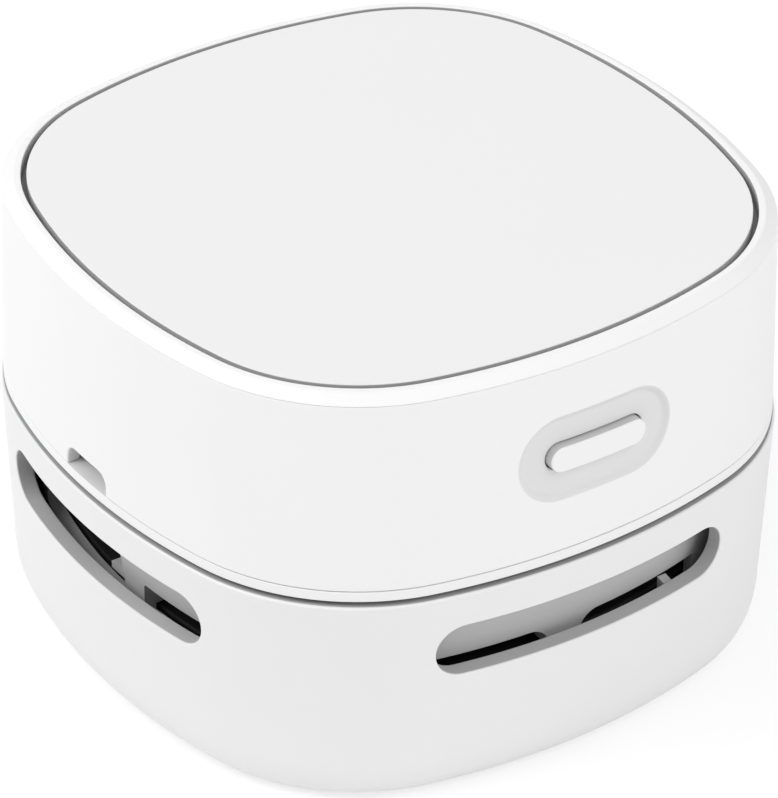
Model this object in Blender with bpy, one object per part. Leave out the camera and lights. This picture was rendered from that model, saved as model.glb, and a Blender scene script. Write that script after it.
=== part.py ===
"""Desktop mini vacuum cleaner: an assembly of separate pieces, in metres, +Z up.

The origin is the centre of the plane that the feet stand on. The button faces -Y and the
charging notch faces -X. Every piece is a closed solid in its own object.
"""
import math

import bmesh
import bpy
from mathutils import Vector

# Body outline: a square with bowed sides and round corners, given at the seam under the housing
BODY_HALF = 0.04266
SIDE_RADIUS = 0.08357
CORNER_RADIUS = 0.02672
SIDE_SEGMENTS = 6
CORNER_SEGMENTS = 7

# Clearances
GAP = 0.0003
SINK = 0.0004
OVERRUN = 0.004

# Lower shell
CUP_LIP_STAND = 0.00034
CUP_LEAN = 0.0010
CUP_HEIGHT = 0.02934
CUP_WALL = 0.00225
CUP_FLOOR = 0.0020
CUP_ROUND_HEIGHT = 0.0059
CUP_ROUND_INSET = 0.0028
CUP_ROUND_STEPS = 5
LIP_EDGE = 0.0004
SLOT_HALF = 0.0205
SLOT_HEIGHT = 0.00705
SLOT_PLACE_SHARE = 0.6033

# Guide ribs inside the lower shell
RIB_OFFSET = 0.0140
RIB_THICK = 0.0012
RIB_LEDGE = 0.0036
RIB_GUIDE_DROP = 0.0003

# Feet
FOOT_RADIUS = 0.0040
FOOT_PROUD = 0.0006
FOOT_THICK = 0.0010
FOOT_INSET = 0.0086

# Suction inlet in the floor
INLET_HALF_X = 0.0215
INLET_HALF_Y = 0.0105
INLET_RECESS = 0.0002
FLANGE_MARGIN = 0.0020
FLANGE_THICK = 0.0015
SUCTION_INSET_X = 0.0045
SUCTION_HALF_Y = 0.0040
DUCT_WALL = 0.0012
DUCT_RISE = 0.0030
BRUSH_INSET_X = 0.0043
BRUSH_INSET_Y = 0.0027
BRUSH_BACK_HALF = 0.0012
BRUSH_BACK_THICK = 0.0012
BRISTLE_HALF = 0.0007
BRISTLE_LIFT = 0.00025

# Filter between dust chamber and fan
FILTER_SEAT_SHARE = 0.317
FILTER_THICK = 0.0016
FILTER_RING = 0.0032
FILTER_INSET = 0.0002
FILTER_BAR_HALF = 0.0008
FILTER_BAR_THICK = 0.0008
CLOTH_THICK = 0.0005
GRIP_HALF_X = 0.0050
GRIP_HALF_Y = 0.0011
GRIP_RISE = 0.0028
GASKET_THICK = 0.0008
GASKET_WIDTH = 0.0012

# Base plate: the visible rim, the spigot in the lower shell, and the inner skirt
SHADOW_GAP = 0.00065
RIM_HEIGHT = 0.00138
HAIRLINE = 0.0003
PLATE_THICK = 0.0018
SPIGOT_DEPTH = 0.0028
SKIRT_INSET = 0.00436
SKIRT_WALL = 0.0016
WINDOW_INNER = 0.0030
WINDOW_OUTER = 0.0180
WINDOW_DROP = 0.00035
WINDOW_SILL = 0.0010
WINDOW_CORNER = 0.0028
OUTLET_RISE = 0.00085
OUTLET_EDGE = 0.0004
OUTLET_OUTER = 0.0190
OUTLET_CORNER = 0.0050
PILLAR_HALF = 0.0026
PILLAR_DEPTH = 0.0040
LEFT_PILLAR_SHIFT = 0.0022

# Fan cover and its screws
COVER_THICK = 0.0012
COVER_EYE = 0.0115
COVER_SCREW_INSET = 0.0024
COVER_SCREW_RADIUS = 0.0008
COVER_SCREW_LENGTH = 0.0069
SCREW_HEAD_SHARE = 2.1
SCREW_HEAD_THICK = 0.0010

# Motor, its well and its rubber ring
MOTOR_RADIUS = 0.0122
MOTOR_HEADROOM = 0.0020
MOTOR_BOSS_RADIUS = 0.0030
MOTOR_BOSS_RISE = 0.0014
WELL_FLOOR = 0.0015
WELL_WALL = 0.0016
WELL_DEPTH = 0.0057
DAMPER_THICK = 0.0008
DAMPER_HEIGHT = 0.0037
CAP_INSET = 0.0008
CAP_THICK = 0.0020
TERMINAL_PLACE_X = 0.0065
TERMINAL_PLACE_Y = 0.0040
TERMINAL_HALF = 0.0012
TERMINAL_THICK = 0.0005
TERMINAL_RISE = 0.0026
MOTOR_SCREW_PLACE = 0.0080
MOTOR_SCREW_RADIUS = 0.0010
MOTOR_SCREW_LENGTH = 0.0048
SHAFT_RADIUS = 0.0010

# Impeller
IMPELLER_CLEAR = 0.0077
IMPELLER_PLATE = 0.0010
BLADE_CLEAR = 0.0009
BLADE_INNER = 0.0090
BLADE_THICK = 0.0010
BLADE_SWEEP = math.radians(38)
BLADE_COUNT = 10
BLADE_STEPS = 4
HUB_RADIUS = 0.0042
HUB_RECESS = 0.0006
IMPELLER_DROP = 0.0019

# Upper housing
UPPER_HEIGHT = 0.02583
UPPER_LEAN = 0.00057
UPPER_WALL = 0.0018
DECK_THICK = 0.0016
DECK_DROP = 0.0021
UPSTAND_HEIGHT = 0.0007
UPSTAND_WIDTH = 0.0009
CASE_BOSS_RADIUS = 0.0030
CASE_BOSS_INSET = 0.0033
CASE_SCREW_RADIUS = 0.0010
CASE_SCREW_LENGTH = 0.0114
CASE_PILOT_SPARE = 0.0015
NOTCH_HALF = 0.0042
NOTCH_HEIGHT = 0.0028
NOTCH_CORNER = 0.0017

# Top rim and panel
TRIM_CHAMFER = 0.00149
TRIM_FLAT = 0.0008
TRIM_EDGE_HEIGHT = 0.0011
GROOVE_WIDTH = 0.0007
PANEL_THICK = 0.0018

# Button and its dish
DISH_HALF_X = 0.0106
DISH_HALF_Z = 0.0057
DISH_DEPTH = 0.0005
DISH_SLOPE = 0.0016
DISH_PLACE_SHARE = 0.4832
BUTTON_HALF_X = 0.0067
BUTTON_HALF_Z = 0.00165
BUTTON_PLACE_SHARE = 0.4886
BUTTON_PROUD = 0.00105
BUTTON_TRAVEL = 0.0006
COLLAR_MARGIN = 0.0022
COLLAR_DEPTH = 0.0012
COLLAR_BITE = 0.0010
FLANGE_EXTRA = 0.0014
FLANGE_DEPTH = 0.0008
NUB_RADIUS = 0.0015
NUB_LENGTH = 0.0004

# Push switch on its board
PLUNGER_RADIUS = 0.0017
PLUNGER_OUT = 0.0012
PLUNGER_IN = 0.0010
SWITCH_HALF = 0.0031
SWITCH_DEPTH = 0.0034
SWITCH_BOARD_HALF_X = 0.0100
SWITCH_BOARD_BELOW = 0.0070
SWITCH_BOARD_ABOVE = 0.0068
BOARD_THICK = 0.0012
POST_PLACE_X = 0.0080
POST_HALF = 0.0015
POST_DEPTH = 0.0028
BOARD_SCREW_RADIUS = 0.0007
BOARD_SCREW_LENGTH = 0.0036
BOARD_SCREW_RISE = 0.0044

# Charging socket and control board
SOCKET_HALF = 0.0038
SOCKET_HEIGHT = 0.0026
SOCKET_DEPTH = 0.0056
SOCKET_SET_BACK = 0.0026
SOCKET_MOUTH_DEPTH = 0.0042
SOCKET_SHEET = 0.0004
CONTROL_CLEAR = 0.0033
CONTROL_HALF = 0.0120
CONTROL_SET_BACK = 0.0024
STANDOFF_RADIUS = 0.0014
STANDOFF_INSET_X = 0.0040
STANDOFF_INSET_Y = 0.0026
CHIP_LENGTH = 0.0050
CHIP_HALF = 0.0020
CHIP_THICK = 0.0011
CHIP_PLACE = 0.0085

# Battery
CELL_RADIUS = 0.0070
CELL_END_CLEAR = 0.0020
CELL_PLACE_SHARE = 0.458
HOLDER_FLOOR = 0.0012
HOLDER_HEIGHT = 0.0065
HOLDER_NARROW = 0.0005
HOLDER_SHORT = 0.0010
TAB_HALF = 0.0030
TAB_THICK = 0.0004
TAB_FRONT = 0.0055
TAB_BACK = 0.0035

# Wires; the routes' heights are counted from the top of the rim
WIRE_RADIUS = 0.00055
WIRE_STEP = 0.0040
MOTOR_ROUTE_1 = ((-0.0068, -0.0040, 0.01893), (-0.0098, -0.0042, 0.01913), (-0.0138, -0.0048, 0.01763),
                 (-0.0160, -0.0054, 0.01263), (-0.0178, -0.0058, 0.00763), (-0.0180, -0.0058, 0.00453))
MOTOR_ROUTE_2 = ((-0.0068, 0.0040, 0.01893), (-0.0098, 0.0038, 0.01913), (-0.0138, 0.0030, 0.01763),
                 (-0.0160, 0.0024, 0.01263), (-0.0178, 0.0016, 0.00763), (-0.0180, 0.0014, 0.00453))
BATTERY_ROUTE_1 = ((-0.0225, 0.0200, 0.00963), (-0.0250, 0.0192, 0.00983), (-0.0268, 0.0160, 0.00863),
                   (-0.0275, 0.0115, 0.00663), (-0.0276, 0.0096, 0.00453))
BATTERY_ROUTE_2 = ((0.0225, 0.0200, 0.00963), (0.0250, 0.0190, 0.01013), (0.0240, 0.0160, 0.01263),
                   (0.0160, 0.0146, 0.01513), (0.0040, 0.0146, 0.01513), (-0.0080, 0.0146, 0.01363),
                   (-0.0160, 0.0120, 0.00963), (-0.0208, 0.0080, 0.00663), (-0.0210, 0.0072, 0.00453))
SWITCH_ROUTE_1 = ((-0.0040, -0.0311, 0.00963), (-0.0042, -0.0290, 0.00953), (-0.0080, -0.0240, 0.00913),
                  (-0.0160, -0.0180, 0.00863), (-0.0220, -0.0110, 0.00713), (-0.0224, -0.0096, 0.00453))
SWITCH_ROUTE_2 = ((-0.0012, -0.0311, 0.01263), (-0.0014, -0.0285, 0.01263), (-0.0060, -0.0215, 0.01263),
                  (-0.0140, -0.0150, 0.01063), (-0.0178, -0.0104, 0.00763), (-0.0180, -0.0096, 0.00453))

# Facets
ROUND_FINE = 24
ROUND_MID = 16
ROUND_SMALL = 12
STADIUM_STEPS = 5
BOW_STEPS = 6
BOW_FLAT_SHARE = 0.34
END_ANGLE = math.radians(80)

# Heights worked out from the sizes above
FLOOR_BOTTOM = FOOT_PROUD
FLOOR_TOP = FLOOR_BOTTOM + CUP_FLOOR
RIM_BOTTOM = CUP_HEIGHT + SHADOW_GAP
RIM_TOP = RIM_BOTTOM + RIM_HEIGHT
PLATE_TOP = RIM_TOP - HAIRLINE / 2
SHELL_BOTTOM = RIM_TOP + HAIRLINE / 2
PLATE_BOTTOM = PLATE_TOP - PLATE_THICK
TOP = RIM_TOP + UPPER_HEIGHT
SLOT_BOTTOM = CUP_HEIGHT * SLOT_PLACE_SHARE
SLOT_TOP = SLOT_BOTTOM + SLOT_HEIGHT
RIB_GUIDE_TOP = SLOT_BOTTOM - RIB_GUIDE_DROP
WINDOW_TOP = SLOT_BOTTOM - WINDOW_DROP
OUTLET_TOP = SLOT_TOP + OUTLET_RISE
FILTER_SEAT = CUP_HEIGHT * FILTER_SEAT_SHARE
FILTER_BOTTOM = FILTER_SEAT + GAP
FILTER_TOP = FILTER_BOTTOM + FILTER_THICK
GASKET_BOTTOM = FILTER_TOP + GAP
GASKET_TOP = GASKET_BOTTOM + GASKET_THICK
SKIRT_BOTTOM = GASKET_TOP + GAP
COVER_BOTTOM = SKIRT_BOTTOM + GAP
COVER_TOP = COVER_BOTTOM + COVER_THICK
PILLAR_BOTTOM = COVER_TOP + GAP
WELL_TOP = PLATE_TOP - WELL_DEPTH + WELL_FLOOR
WELL_BOTTOM = PLATE_TOP - WELL_DEPTH
MOTOR_BOTTOM = WELL_TOP + GAP
IMPELLER_TOP = WELL_BOTTOM - IMPELLER_DROP
IMPELLER_UNDER = IMPELLER_TOP - IMPELLER_PLATE
BLADE_BOTTOM = COVER_TOP + BLADE_CLEAR
HUB_BOTTOM = BLADE_BOTTOM + HUB_RECESS
HUB_TOP = WELL_BOTTOM - GAP
DECK_TOP = TOP - DECK_DROP
DECK_BOTTOM = DECK_TOP - DECK_THICK
UPSTAND_TOP = DECK_TOP + UPSTAND_HEIGHT
TERMINAL_TOP = DECK_BOTTOM - MOTOR_HEADROOM
CAP_TOP = TERMINAL_TOP - TERMINAL_RISE - GAP
CAP_BOTTOM = CAP_TOP - CAP_THICK
MOTOR_TOP = CAP_BOTTOM - GAP
BUTTON_Z = RIM_TOP + UPPER_HEIGHT * BUTTON_PLACE_SHARE
DISH_Z = RIM_TOP + UPPER_HEIGHT * DISH_PLACE_SHARE
CELL_Z = SHELL_BOTTOM + HOLDER_FLOOR + GAP + CELL_RADIUS
BOARD_BOTTOM = SHELL_BOTTOM + SOCKET_HEIGHT + GAP
BOARD_TOP = BOARD_BOTTOM + BOARD_THICK

# Half widths worked out from the sizes above
UPPER_TOP_HALF = BODY_HALF - UPPER_LEAN
TRIM_HALF = UPPER_TOP_HALF - TRIM_CHAMFER
GROOVE_OUTER = TRIM_HALF - TRIM_FLAT
CUP_LIP_HALF = BODY_HALF + CUP_LIP_STAND
CUP_FOOT_HALF = CUP_LIP_HALF - CUP_LEAN
SKIRT_HALF = BODY_HALF - SKIRT_INSET
SKIRT_INNER = SKIRT_HALF - SKIRT_WALL
IMPELLER_RADIUS = SKIRT_INNER - PILLAR_DEPTH - IMPELLER_CLEAR
SUCTION_HALF_X = INLET_HALF_X - SUCTION_INSET_X
BRUSH_HALF_X = INLET_HALF_X - BRUSH_INSET_X
BRUSH_PLACE_Y = INLET_HALF_Y - BRUSH_INSET_Y
SPIGOT_HALF = CUP_LIP_HALF - CUP_WALL - GAP
FILTER_HALF = SKIRT_HALF - FILTER_INSET
COVER_HALF = SKIRT_INNER - GAP
PANEL_HALF = GROOVE_OUTER - GROOVE_WIDTH
WELL_RADIUS = MOTOR_RADIUS + GAP + DAMPER_THICK + GAP
COVER_SCREW_PLACE = SKIRT_INNER - COVER_SCREW_INSET

# The four sides, a quarter turn apart
SIDES = ("front", "right", "back", "left")
CORNERS = ((-1, -1), (1, -1), (1, 1), (-1, 1))

WHITE = (0.86, 0.86, 0.85)
PANEL_WHITE = (0.80, 0.80, 0.79)
LIGHT_GREY = (0.55, 0.55, 0.54)
DARK_GREY = (0.05, 0.05, 0.055)
RUBBER_BLACK = (0.03, 0.03, 0.03)
STEEL = (0.62, 0.62, 0.64)
BRASS = (0.75, 0.58, 0.28)
BOARD_GREEN = (0.04, 0.20, 0.09)
CELL_BLUE = (0.05, 0.16, 0.45)
WIRE_RED = (0.60, 0.03, 0.03)
WIRE_BLACK = (0.02, 0.02, 0.02)
BRISTLE_GREY = (0.18, 0.18, 0.19)
FELT_WHITE = (0.75, 0.76, 0.77)


def material(name, colour, roughness, metallic=0.0):
    """Return the named material, made at its first use."""
    made = bpy.data.materials.get(name)
    if made is None:
        made = bpy.data.materials.new(name)
        made.use_nodes = True
        shader = made.node_tree.nodes["Principled BSDF"]
        shader.inputs["Base Color"].default_value = (*colour, 1.0)
        shader.inputs["Roughness"].default_value = roughness
        shader.inputs["Metallic"].default_value = metallic
    return made


def shell_white():
    return material("shell_white", WHITE, 0.45)


def panel_white():
    return material("panel_white", PANEL_WHITE, 0.5)


def skirt_grey():
    return material("skirt_grey", LIGHT_GREY, 0.5)


def dark_plastic():
    return material("dark_plastic", DARK_GREY, 0.5)


def rubber():
    return material("rubber", RUBBER_BLACK, 0.8)


def steel():
    return material("steel", STEEL, 0.3, 1.0)


def brass():
    return material("brass", BRASS, 0.3, 1.0)


def board_green():
    return material("board_green", BOARD_GREEN, 0.4)


def cell_wrap():
    return material("cell_wrap", CELL_BLUE, 0.35)


def bristle():
    return material("bristle", BRISTLE_GREY, 0.7)


def felt():
    return material("felt", FELT_WHITE, 0.95)


def clear_scene():
    for item in list(bpy.data.objects):
        bpy.data.objects.remove(item, do_unlink=True)


def turn_side(point, side):
    """Turn a point of the front side to the given side."""
    x, y, z = point
    for _ in range(SIDES.index(side)):
        x, y = -y, x
    return (x, y, z)


def outline(half, z):
    """Points of the body outline at a half width, at a height, counter-clockwise from +X."""
    offset = half - BODY_HALF
    side = SIDE_RADIUS + offset
    corner = CORNER_RADIUS + offset
    shift = half - side
    reach = side - corner
    centre = (2 * shift + math.sqrt(4 * shift ** 2 - 8 * (shift ** 2 - reach ** 2))) / 4
    joint = math.atan2(centre, centre - shift)
    points = []
    for quarter in range(4):
        turn = quarter * math.pi / 2
        arc = []
        for step in range(SIDE_SEGMENTS):
            angle = joint * (2 * step / SIDE_SEGMENTS - 1)
            arc.append((shift + side * math.cos(angle), side * math.sin(angle)))
        for step in range(CORNER_SEGMENTS):
            angle = joint + (math.pi / 2 - 2 * joint) * step / CORNER_SEGMENTS
            arc.append((centre + corner * math.cos(angle), centre + corner * math.sin(angle)))
        for x, y in arc:
            points.append((x * math.cos(turn) - y * math.sin(turn),
                           x * math.sin(turn) + y * math.cos(turn), z))
    return points


def side_distance(half, across):
    """How far the side of an outline lies from the centre, at a place across that side."""
    side = SIDE_RADIUS + half - BODY_HALF
    return half - side + math.sqrt(side ** 2 - across ** 2)


def corner_place(half, inset):
    """Where along X, and along Y, a point lies that is inset from a corner of an outline."""
    corner = max(Vector(point).length for point in outline(half, 0.0))
    return (corner - inset) / math.sqrt(2)


def foot_place():
    return corner_place(CUP_FOOT_HALF - CUP_ROUND_INSET, FOOT_INSET)


def boss_place():
    return corner_place(SKIRT_INNER, CASE_BOSS_INSET)


def ring(radius, z, segments, centre=(0.0, 0.0)):
    """Points of a level circle."""
    points = []
    for step in range(segments):
        angle = 2 * math.pi * step / segments
        points.append((centre[0] + radius * math.cos(angle), centre[1] + radius * math.sin(angle), z))
    return points


def skin(bm, loops, closed=False):
    """Join loops of equal length into a solid, capped at both ends or closed on itself."""
    rows = []
    for loop in loops:
        rows.append([bm.verts.new(point) for point in loop])
    count = len(rows[0])
    faces = []
    for index in range(len(rows) if closed else len(rows) - 1):
        low = rows[index]
        high = rows[(index + 1) % len(rows)]
        for place in range(count):
            after = (place + 1) % count
            faces.append(bm.faces.new((low[place], low[after], high[after], high[place])))
    if not closed:
        faces.append(bm.faces.new(list(reversed(rows[0]))))
        faces.append(bm.faces.new(rows[-1]))
    bmesh.ops.recalc_face_normals(bm, faces=faces)


def outline_solid(bm, profile, closed=False):
    """A solid whose level sections are body outlines: profile holds (half width, z)."""
    skin(bm, [outline(half, z) for half, z in profile], closed)


def turned(bm, profile, segments, centre=(0.0, 0.0), closed=False):
    """A solid of revolution about a vertical line: profile holds (radius, z)."""
    skin(bm, [ring(radius, z, segments, centre) for radius, z in profile], closed)


def block(bm, low, high, side="front"):
    """A box between two corners, on the front or turned to another side."""
    loops = []
    for z in (low[2], high[2]):
        loop = [(low[0], low[1], z), (high[0], low[1], z), (high[0], high[1], z), (low[0], high[1], z)]
        loops.append([turn_side(point, side) for point in loop])
    skin(bm, loops)


def stadium(half_x, half_z, centre_z):
    """Points (x, z) of an upright stadium outline."""
    points = []
    for end, start in ((1, -math.pi / 2), (-1, math.pi / 2)):
        for step in range(STADIUM_STEPS * 2 + 1):
            angle = start + math.pi * step / (STADIUM_STEPS * 2)
            points.append((end * (half_x - half_z) + half_z * math.cos(angle),
                           centre_z + half_z * math.sin(angle)))
    return points


def stadium_bar(bm, half_x, half_z, centre_z, near, far, side="front"):
    """A stadium prism between two distances along Y, turned to a side."""
    loops = []
    for y in (near, far):
        loops.append([turn_side((x, y, z), side) for x, z in stadium(half_x, half_z, centre_z)])
    skin(bm, loops)


def window_bar(bm, inner, outer, bottom, top, corner, near, far, side):
    """A prism with round upper corners between two distances along Y, turned to a side."""
    corner = min(corner, top - bottom, (outer - inner) / 2)
    points = [(inner, bottom), (outer, bottom)]
    for centre, start in ((outer - corner, 0.0), (inner + corner, math.pi / 2)):
        for step in range(STADIUM_STEPS + 1):
            angle = start + math.pi / 2 * step / STADIUM_STEPS
            points.append((centre + corner * math.cos(angle), top - corner + corner * math.sin(angle)))
    loops = []
    for y in (near, far):
        loops.append([turn_side((x, y, z), side) for x, z in points])
    skin(bm, loops)


def level_pin(bm, radius, near, far, x, z, segments, side="front"):
    """A round bar along Y, turned to a side."""
    loops = []
    for y in (near, far):
        loop = []
        for step in range(segments):
            angle = 2 * math.pi * step / segments
            point = (x + radius * math.cos(angle), y, z + radius * math.sin(angle))
            loop.append(turn_side(point, side))
        loops.append(loop)
    skin(bm, loops)


def mesh_object(name, build, look=None, parent=None, pivot=(0.0, 0.0, 0.0), smooth=False):
    """Make an object from a function that fills a bmesh in world places; pivot is its origin."""
    bm = bmesh.new()
    build(bm)
    bmesh.ops.translate(bm, verts=bm.verts, vec=-Vector(pivot))
    mesh = bpy.data.meshes.new(name)
    bm.to_mesh(mesh)
    bm.free()
    if smooth:
        mesh.shade_smooth()
        mesh.set_sharp_from_angle(angle=math.radians(35))
    made = bpy.data.objects.new(name, mesh)
    bpy.context.scene.collection.objects.link(made)
    if look is not None:
        mesh.materials.append(look)
    if parent is not None:
        made.parent = parent
        made.location = Vector(pivot) - parent.matrix_world.translation
    else:
        made.location = pivot
    return made


def group(name, place=(0.0, 0.0, 0.0), parent=None):
    """An empty that carries the pieces of one body, on that body's joint axis."""
    made = bpy.data.objects.new(name, None)
    bpy.context.scene.collection.objects.link(made)
    made.parent = parent
    made.location = Vector(place)
    if parent is not None:
        made.location = Vector(place) - parent.matrix_world.translation
    bpy.context.view_layer.update()
    return made


def reshape(piece, operation, build, label=""):
    """Cut from a piece, or join to it, the solid that a function builds in world places."""
    tool = mesh_object("_".join((piece.name, operation.lower() + label)), build, parent=piece.parent)
    tool.hide_render = True
    tool.display_type = "WIRE"
    step = piece.modifiers.new(operation.lower() + label, "BOOLEAN")
    step.operation = operation
    step.solver = "EXACT"
    step.object = tool


def cup_outer_half(z):
    """Half width of the lower shell's outside above its rounded foot."""
    start = FLOOR_BOTTOM + CUP_ROUND_HEIGHT
    share = (z - start) / (CUP_HEIGHT - start)
    return CUP_FOOT_HALF + (CUP_LIP_HALF - CUP_FOOT_HALF) * share


def upper_outer_half(z):
    """Half width of the upper housing's outside, which leans in towards the top."""
    share = (z - RIM_TOP) / (UPSTAND_TOP - RIM_TOP)
    return BODY_HALF + (UPPER_TOP_HALF - BODY_HALF) * share


def dust_shell(parent):
    def body(bm):
        profile = []
        for step in range(CUP_ROUND_STEPS + 1):
            angle = math.pi / 2 * step / CUP_ROUND_STEPS
            profile.append((CUP_FOOT_HALF - CUP_ROUND_INSET * (1 - math.sin(angle)),
                            FLOOR_BOTTOM + CUP_ROUND_HEIGHT * (1 - math.cos(angle))))
        profile.append((CUP_LIP_HALF, CUP_HEIGHT - LIP_EDGE))
        profile.append((CUP_LIP_HALF - LIP_EDGE, CUP_HEIGHT))
        profile.append((CUP_LIP_HALF - CUP_WALL, CUP_HEIGHT))
        profile.append((CUP_FOOT_HALF - CUP_WALL, FLOOR_BOTTOM + CUP_ROUND_HEIGHT))
        profile.append((CUP_FOOT_HALF - CUP_ROUND_INSET - CUP_WALL, FLOOR_TOP))
        outline_solid(bm, profile)

    def ribs(bm):
        for side in SIDES:
            for across in (-RIB_OFFSET, RIB_OFFSET):
                tall = across > 0 and side in ("front", "back")
                rib(bm, side, across, tall)

    def cuts(bm):
        block(bm, (-INLET_HALF_X - GAP, -INLET_HALF_Y - GAP, FLOOR_BOTTOM - OVERRUN),
              (INLET_HALF_X + GAP, INLET_HALF_Y + GAP, FLOOR_TOP + OVERRUN / 2))
        for place in corner_places(foot_place()):
            turned(bm, ((FOOT_RADIUS + GAP, FLOOR_BOTTOM - OVERRUN),
                        (FOOT_RADIUS + GAP, FOOT_THICK + GAP)),
                   ROUND_MID, place)
        for side in SIDES:
            stadium_bar(bm, SLOT_HALF, SLOT_HEIGHT / 2, SLOT_TOP - SLOT_HEIGHT / 2,
                        -CUP_LIP_HALF - OVERRUN, -SKIRT_INNER + OVERRUN, side)

    piece = mesh_object("dust_shell", body, shell_white(), parent)
    reshape(piece, "UNION", ribs)
    reshape(piece, "DIFFERENCE", cuts)


def rib(bm, side, across, tall):
    """A rib from floor to wall: a ledge for the filter, and if tall a guide for the skirt."""
    wall_low = side_distance(CUP_FOOT_HALF - CUP_ROUND_INSET - CUP_WALL, across) + SINK * 2
    wall_mid = side_distance(CUP_FOOT_HALF - CUP_WALL, across) + SINK * 2
    guide = side_distance(SKIRT_HALF + GAP, across)
    ledge = side_distance(FILTER_HALF, across) - RIB_LEDGE
    knee = FLOOR_BOTTOM + CUP_ROUND_HEIGHT
    profile = [(ledge, FLOOR_TOP - SINK), (ledge, FILTER_SEAT)]
    if tall:
        profile += [(guide, FILTER_SEAT), (guide, RIB_GUIDE_TOP)]
        wall_top = side_distance(cup_outer_half(RIB_GUIDE_TOP) - CUP_WALL, across) + SINK
        profile.append((wall_top, RIB_GUIDE_TOP - SINK))
    else:
        profile.append((wall_mid, FILTER_SEAT))
    profile += [(wall_mid, knee), (wall_low, FLOOR_TOP - SINK)]
    loops = []
    for x in (across - RIB_THICK / 2, across + RIB_THICK / 2):
        loops.append([turn_side((x, -distance, z), side) for distance, z in profile])
    skin(bm, loops)


def inlet_frame(parent):
    bottom = FLOOR_BOTTOM + INLET_RECESS
    seat = FLOOR_TOP + GAP
    flange_top = seat + FLANGE_THICK
    duct_top = flange_top + DUCT_RISE

    def body(bm):
        plug = (INLET_HALF_X, INLET_HALF_Y)
        flange = (INLET_HALF_X + FLANGE_MARGIN, INLET_HALF_Y + FLANGE_MARGIN)
        duct = (SUCTION_HALF_X + DUCT_WALL, SUCTION_HALF_Y + DUCT_WALL)
        loops = []
        for half, z in ((plug, bottom), (plug, seat), (flange, seat), (flange, flange_top),
                        (duct, flange_top), (duct, duct_top)):
            x, y = half
            loops.append([(-x, -y, z), (x, -y, z), (x, y, z), (-x, y, z)])
        skin(bm, loops)

    def cuts(bm):
        block(bm, (-SUCTION_HALF_X, -SUCTION_HALF_Y, bottom - OVERRUN),
              (SUCTION_HALF_X, SUCTION_HALF_Y, duct_top + OVERRUN))
        for sign in (-1, 1):
            centre = sign * BRUSH_PLACE_Y
            half = BRUSH_BACK_HALF + GAP
            block(bm, (-BRUSH_HALF_X - GAP, centre - half, bottom - OVERRUN),
                  (BRUSH_HALF_X + GAP, centre + half, seat + GAP))

    piece = mesh_object("inlet_frame", body, dark_plastic(), parent)
    reshape(piece, "DIFFERENCE", cuts)


def brush(name, sign, parent):
    top = FLOOR_TOP + GAP
    shoulder = top - BRUSH_BACK_THICK
    centre = sign * BRUSH_PLACE_Y

    def body(bm):
        profile = [(-BRISTLE_HALF, BRISTLE_LIFT), (BRISTLE_HALF, BRISTLE_LIFT),
                   (BRISTLE_HALF, shoulder), (BRUSH_BACK_HALF, shoulder),
                   (BRUSH_BACK_HALF, top), (-BRUSH_BACK_HALF, top),
                   (-BRUSH_BACK_HALF, shoulder), (-BRISTLE_HALF, shoulder)]
        skin(bm, [[(x, centre + y, z) for y, z in profile] for x in (-BRUSH_HALF_X, BRUSH_HALF_X)])

    mesh_object(name, body, bristle(), parent)


def foot(name, x, y, parent):
    def body(bm):
        turned(bm, ((FOOT_RADIUS, 0.0), (FOOT_RADIUS, FOOT_THICK)), ROUND_MID, (x, y))

    mesh_object(name, body, rubber(), parent, smooth=True)


def filter_frame(parent):
    bar_bottom = FILTER_TOP - FILTER_BAR_THICK
    inner = FILTER_HALF - FILTER_RING

    def body(bm):
        outline_solid(bm, ((FILTER_HALF, FILTER_BOTTOM), (FILTER_HALF, FILTER_TOP),
                           (inner, FILTER_TOP), (inner, FILTER_BOTTOM)), closed=True)

    def bars(bm):
        reach = inner + SINK
        arm = FILTER_BAR_HALF
        loops = []
        for z in (bar_bottom, FILTER_TOP):
            loop = []
            for side in SIDES:
                for point in ((-arm, -reach, z), (arm, -reach, z), (arm, -arm, z)):
                    loop.append(turn_side(point, side))
            loops.append(loop)
        skin(bm, loops)

    def grip(bm):
        block(bm, (-GRIP_HALF_X, -GRIP_HALF_Y, FILTER_TOP - SINK),
              (GRIP_HALF_X, GRIP_HALF_Y, FILTER_TOP + GRIP_RISE))

    piece = mesh_object("filter_frame", body, dark_plastic(), parent)
    reshape(piece, "UNION", bars, "_bars")
    reshape(piece, "UNION", grip, "_grip")


def filter_cloth(parent):
    half = FILTER_HALF - FILTER_RING - GAP
    top = FILTER_TOP - FILTER_BAR_THICK - GAP

    def body(bm):
        outline_solid(bm, ((half, top - CLOTH_THICK), (half, top)))

    mesh_object("filter_cloth", body, felt(), parent)


def filter_gasket(parent):
    outer = SKIRT_HALF - GAP
    inner = outer - GASKET_WIDTH

    def body(bm):
        outline_solid(bm, ((outer, GASKET_BOTTOM), (outer, GASKET_TOP),
                           (inner, GASKET_TOP), (inner, GASKET_BOTTOM)), closed=True)

    mesh_object("filter_gasket", body, rubber(), parent)


def pillar_shift(side):
    """The pillars stand in the middle of their sides, but aside on the left."""
    return LEFT_PILLAR_SHIFT if side == "left" else 0.0


def cover_screw_places():
    for side in SIDES:
        x, y, _ = turn_side((pillar_shift(side), -COVER_SCREW_PLACE, 0.0), side)
        yield x, y


def corner_places(distance):
    return [(x * distance, y * distance) for x, y in CORNERS]


def motor_screw_places():
    return [(-MOTOR_SCREW_PLACE, 0.0), (MOTOR_SCREW_PLACE, 0.0)]


def control_board_edge():
    """The control board's edge nearest to the charging notch."""
    return -(BODY_HALF - UPPER_WALL - CONTROL_SET_BACK)


def control_board_end():
    """The control board's edge nearest to the motor."""
    return -(MOTOR_RADIUS + CONTROL_CLEAR)


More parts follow.
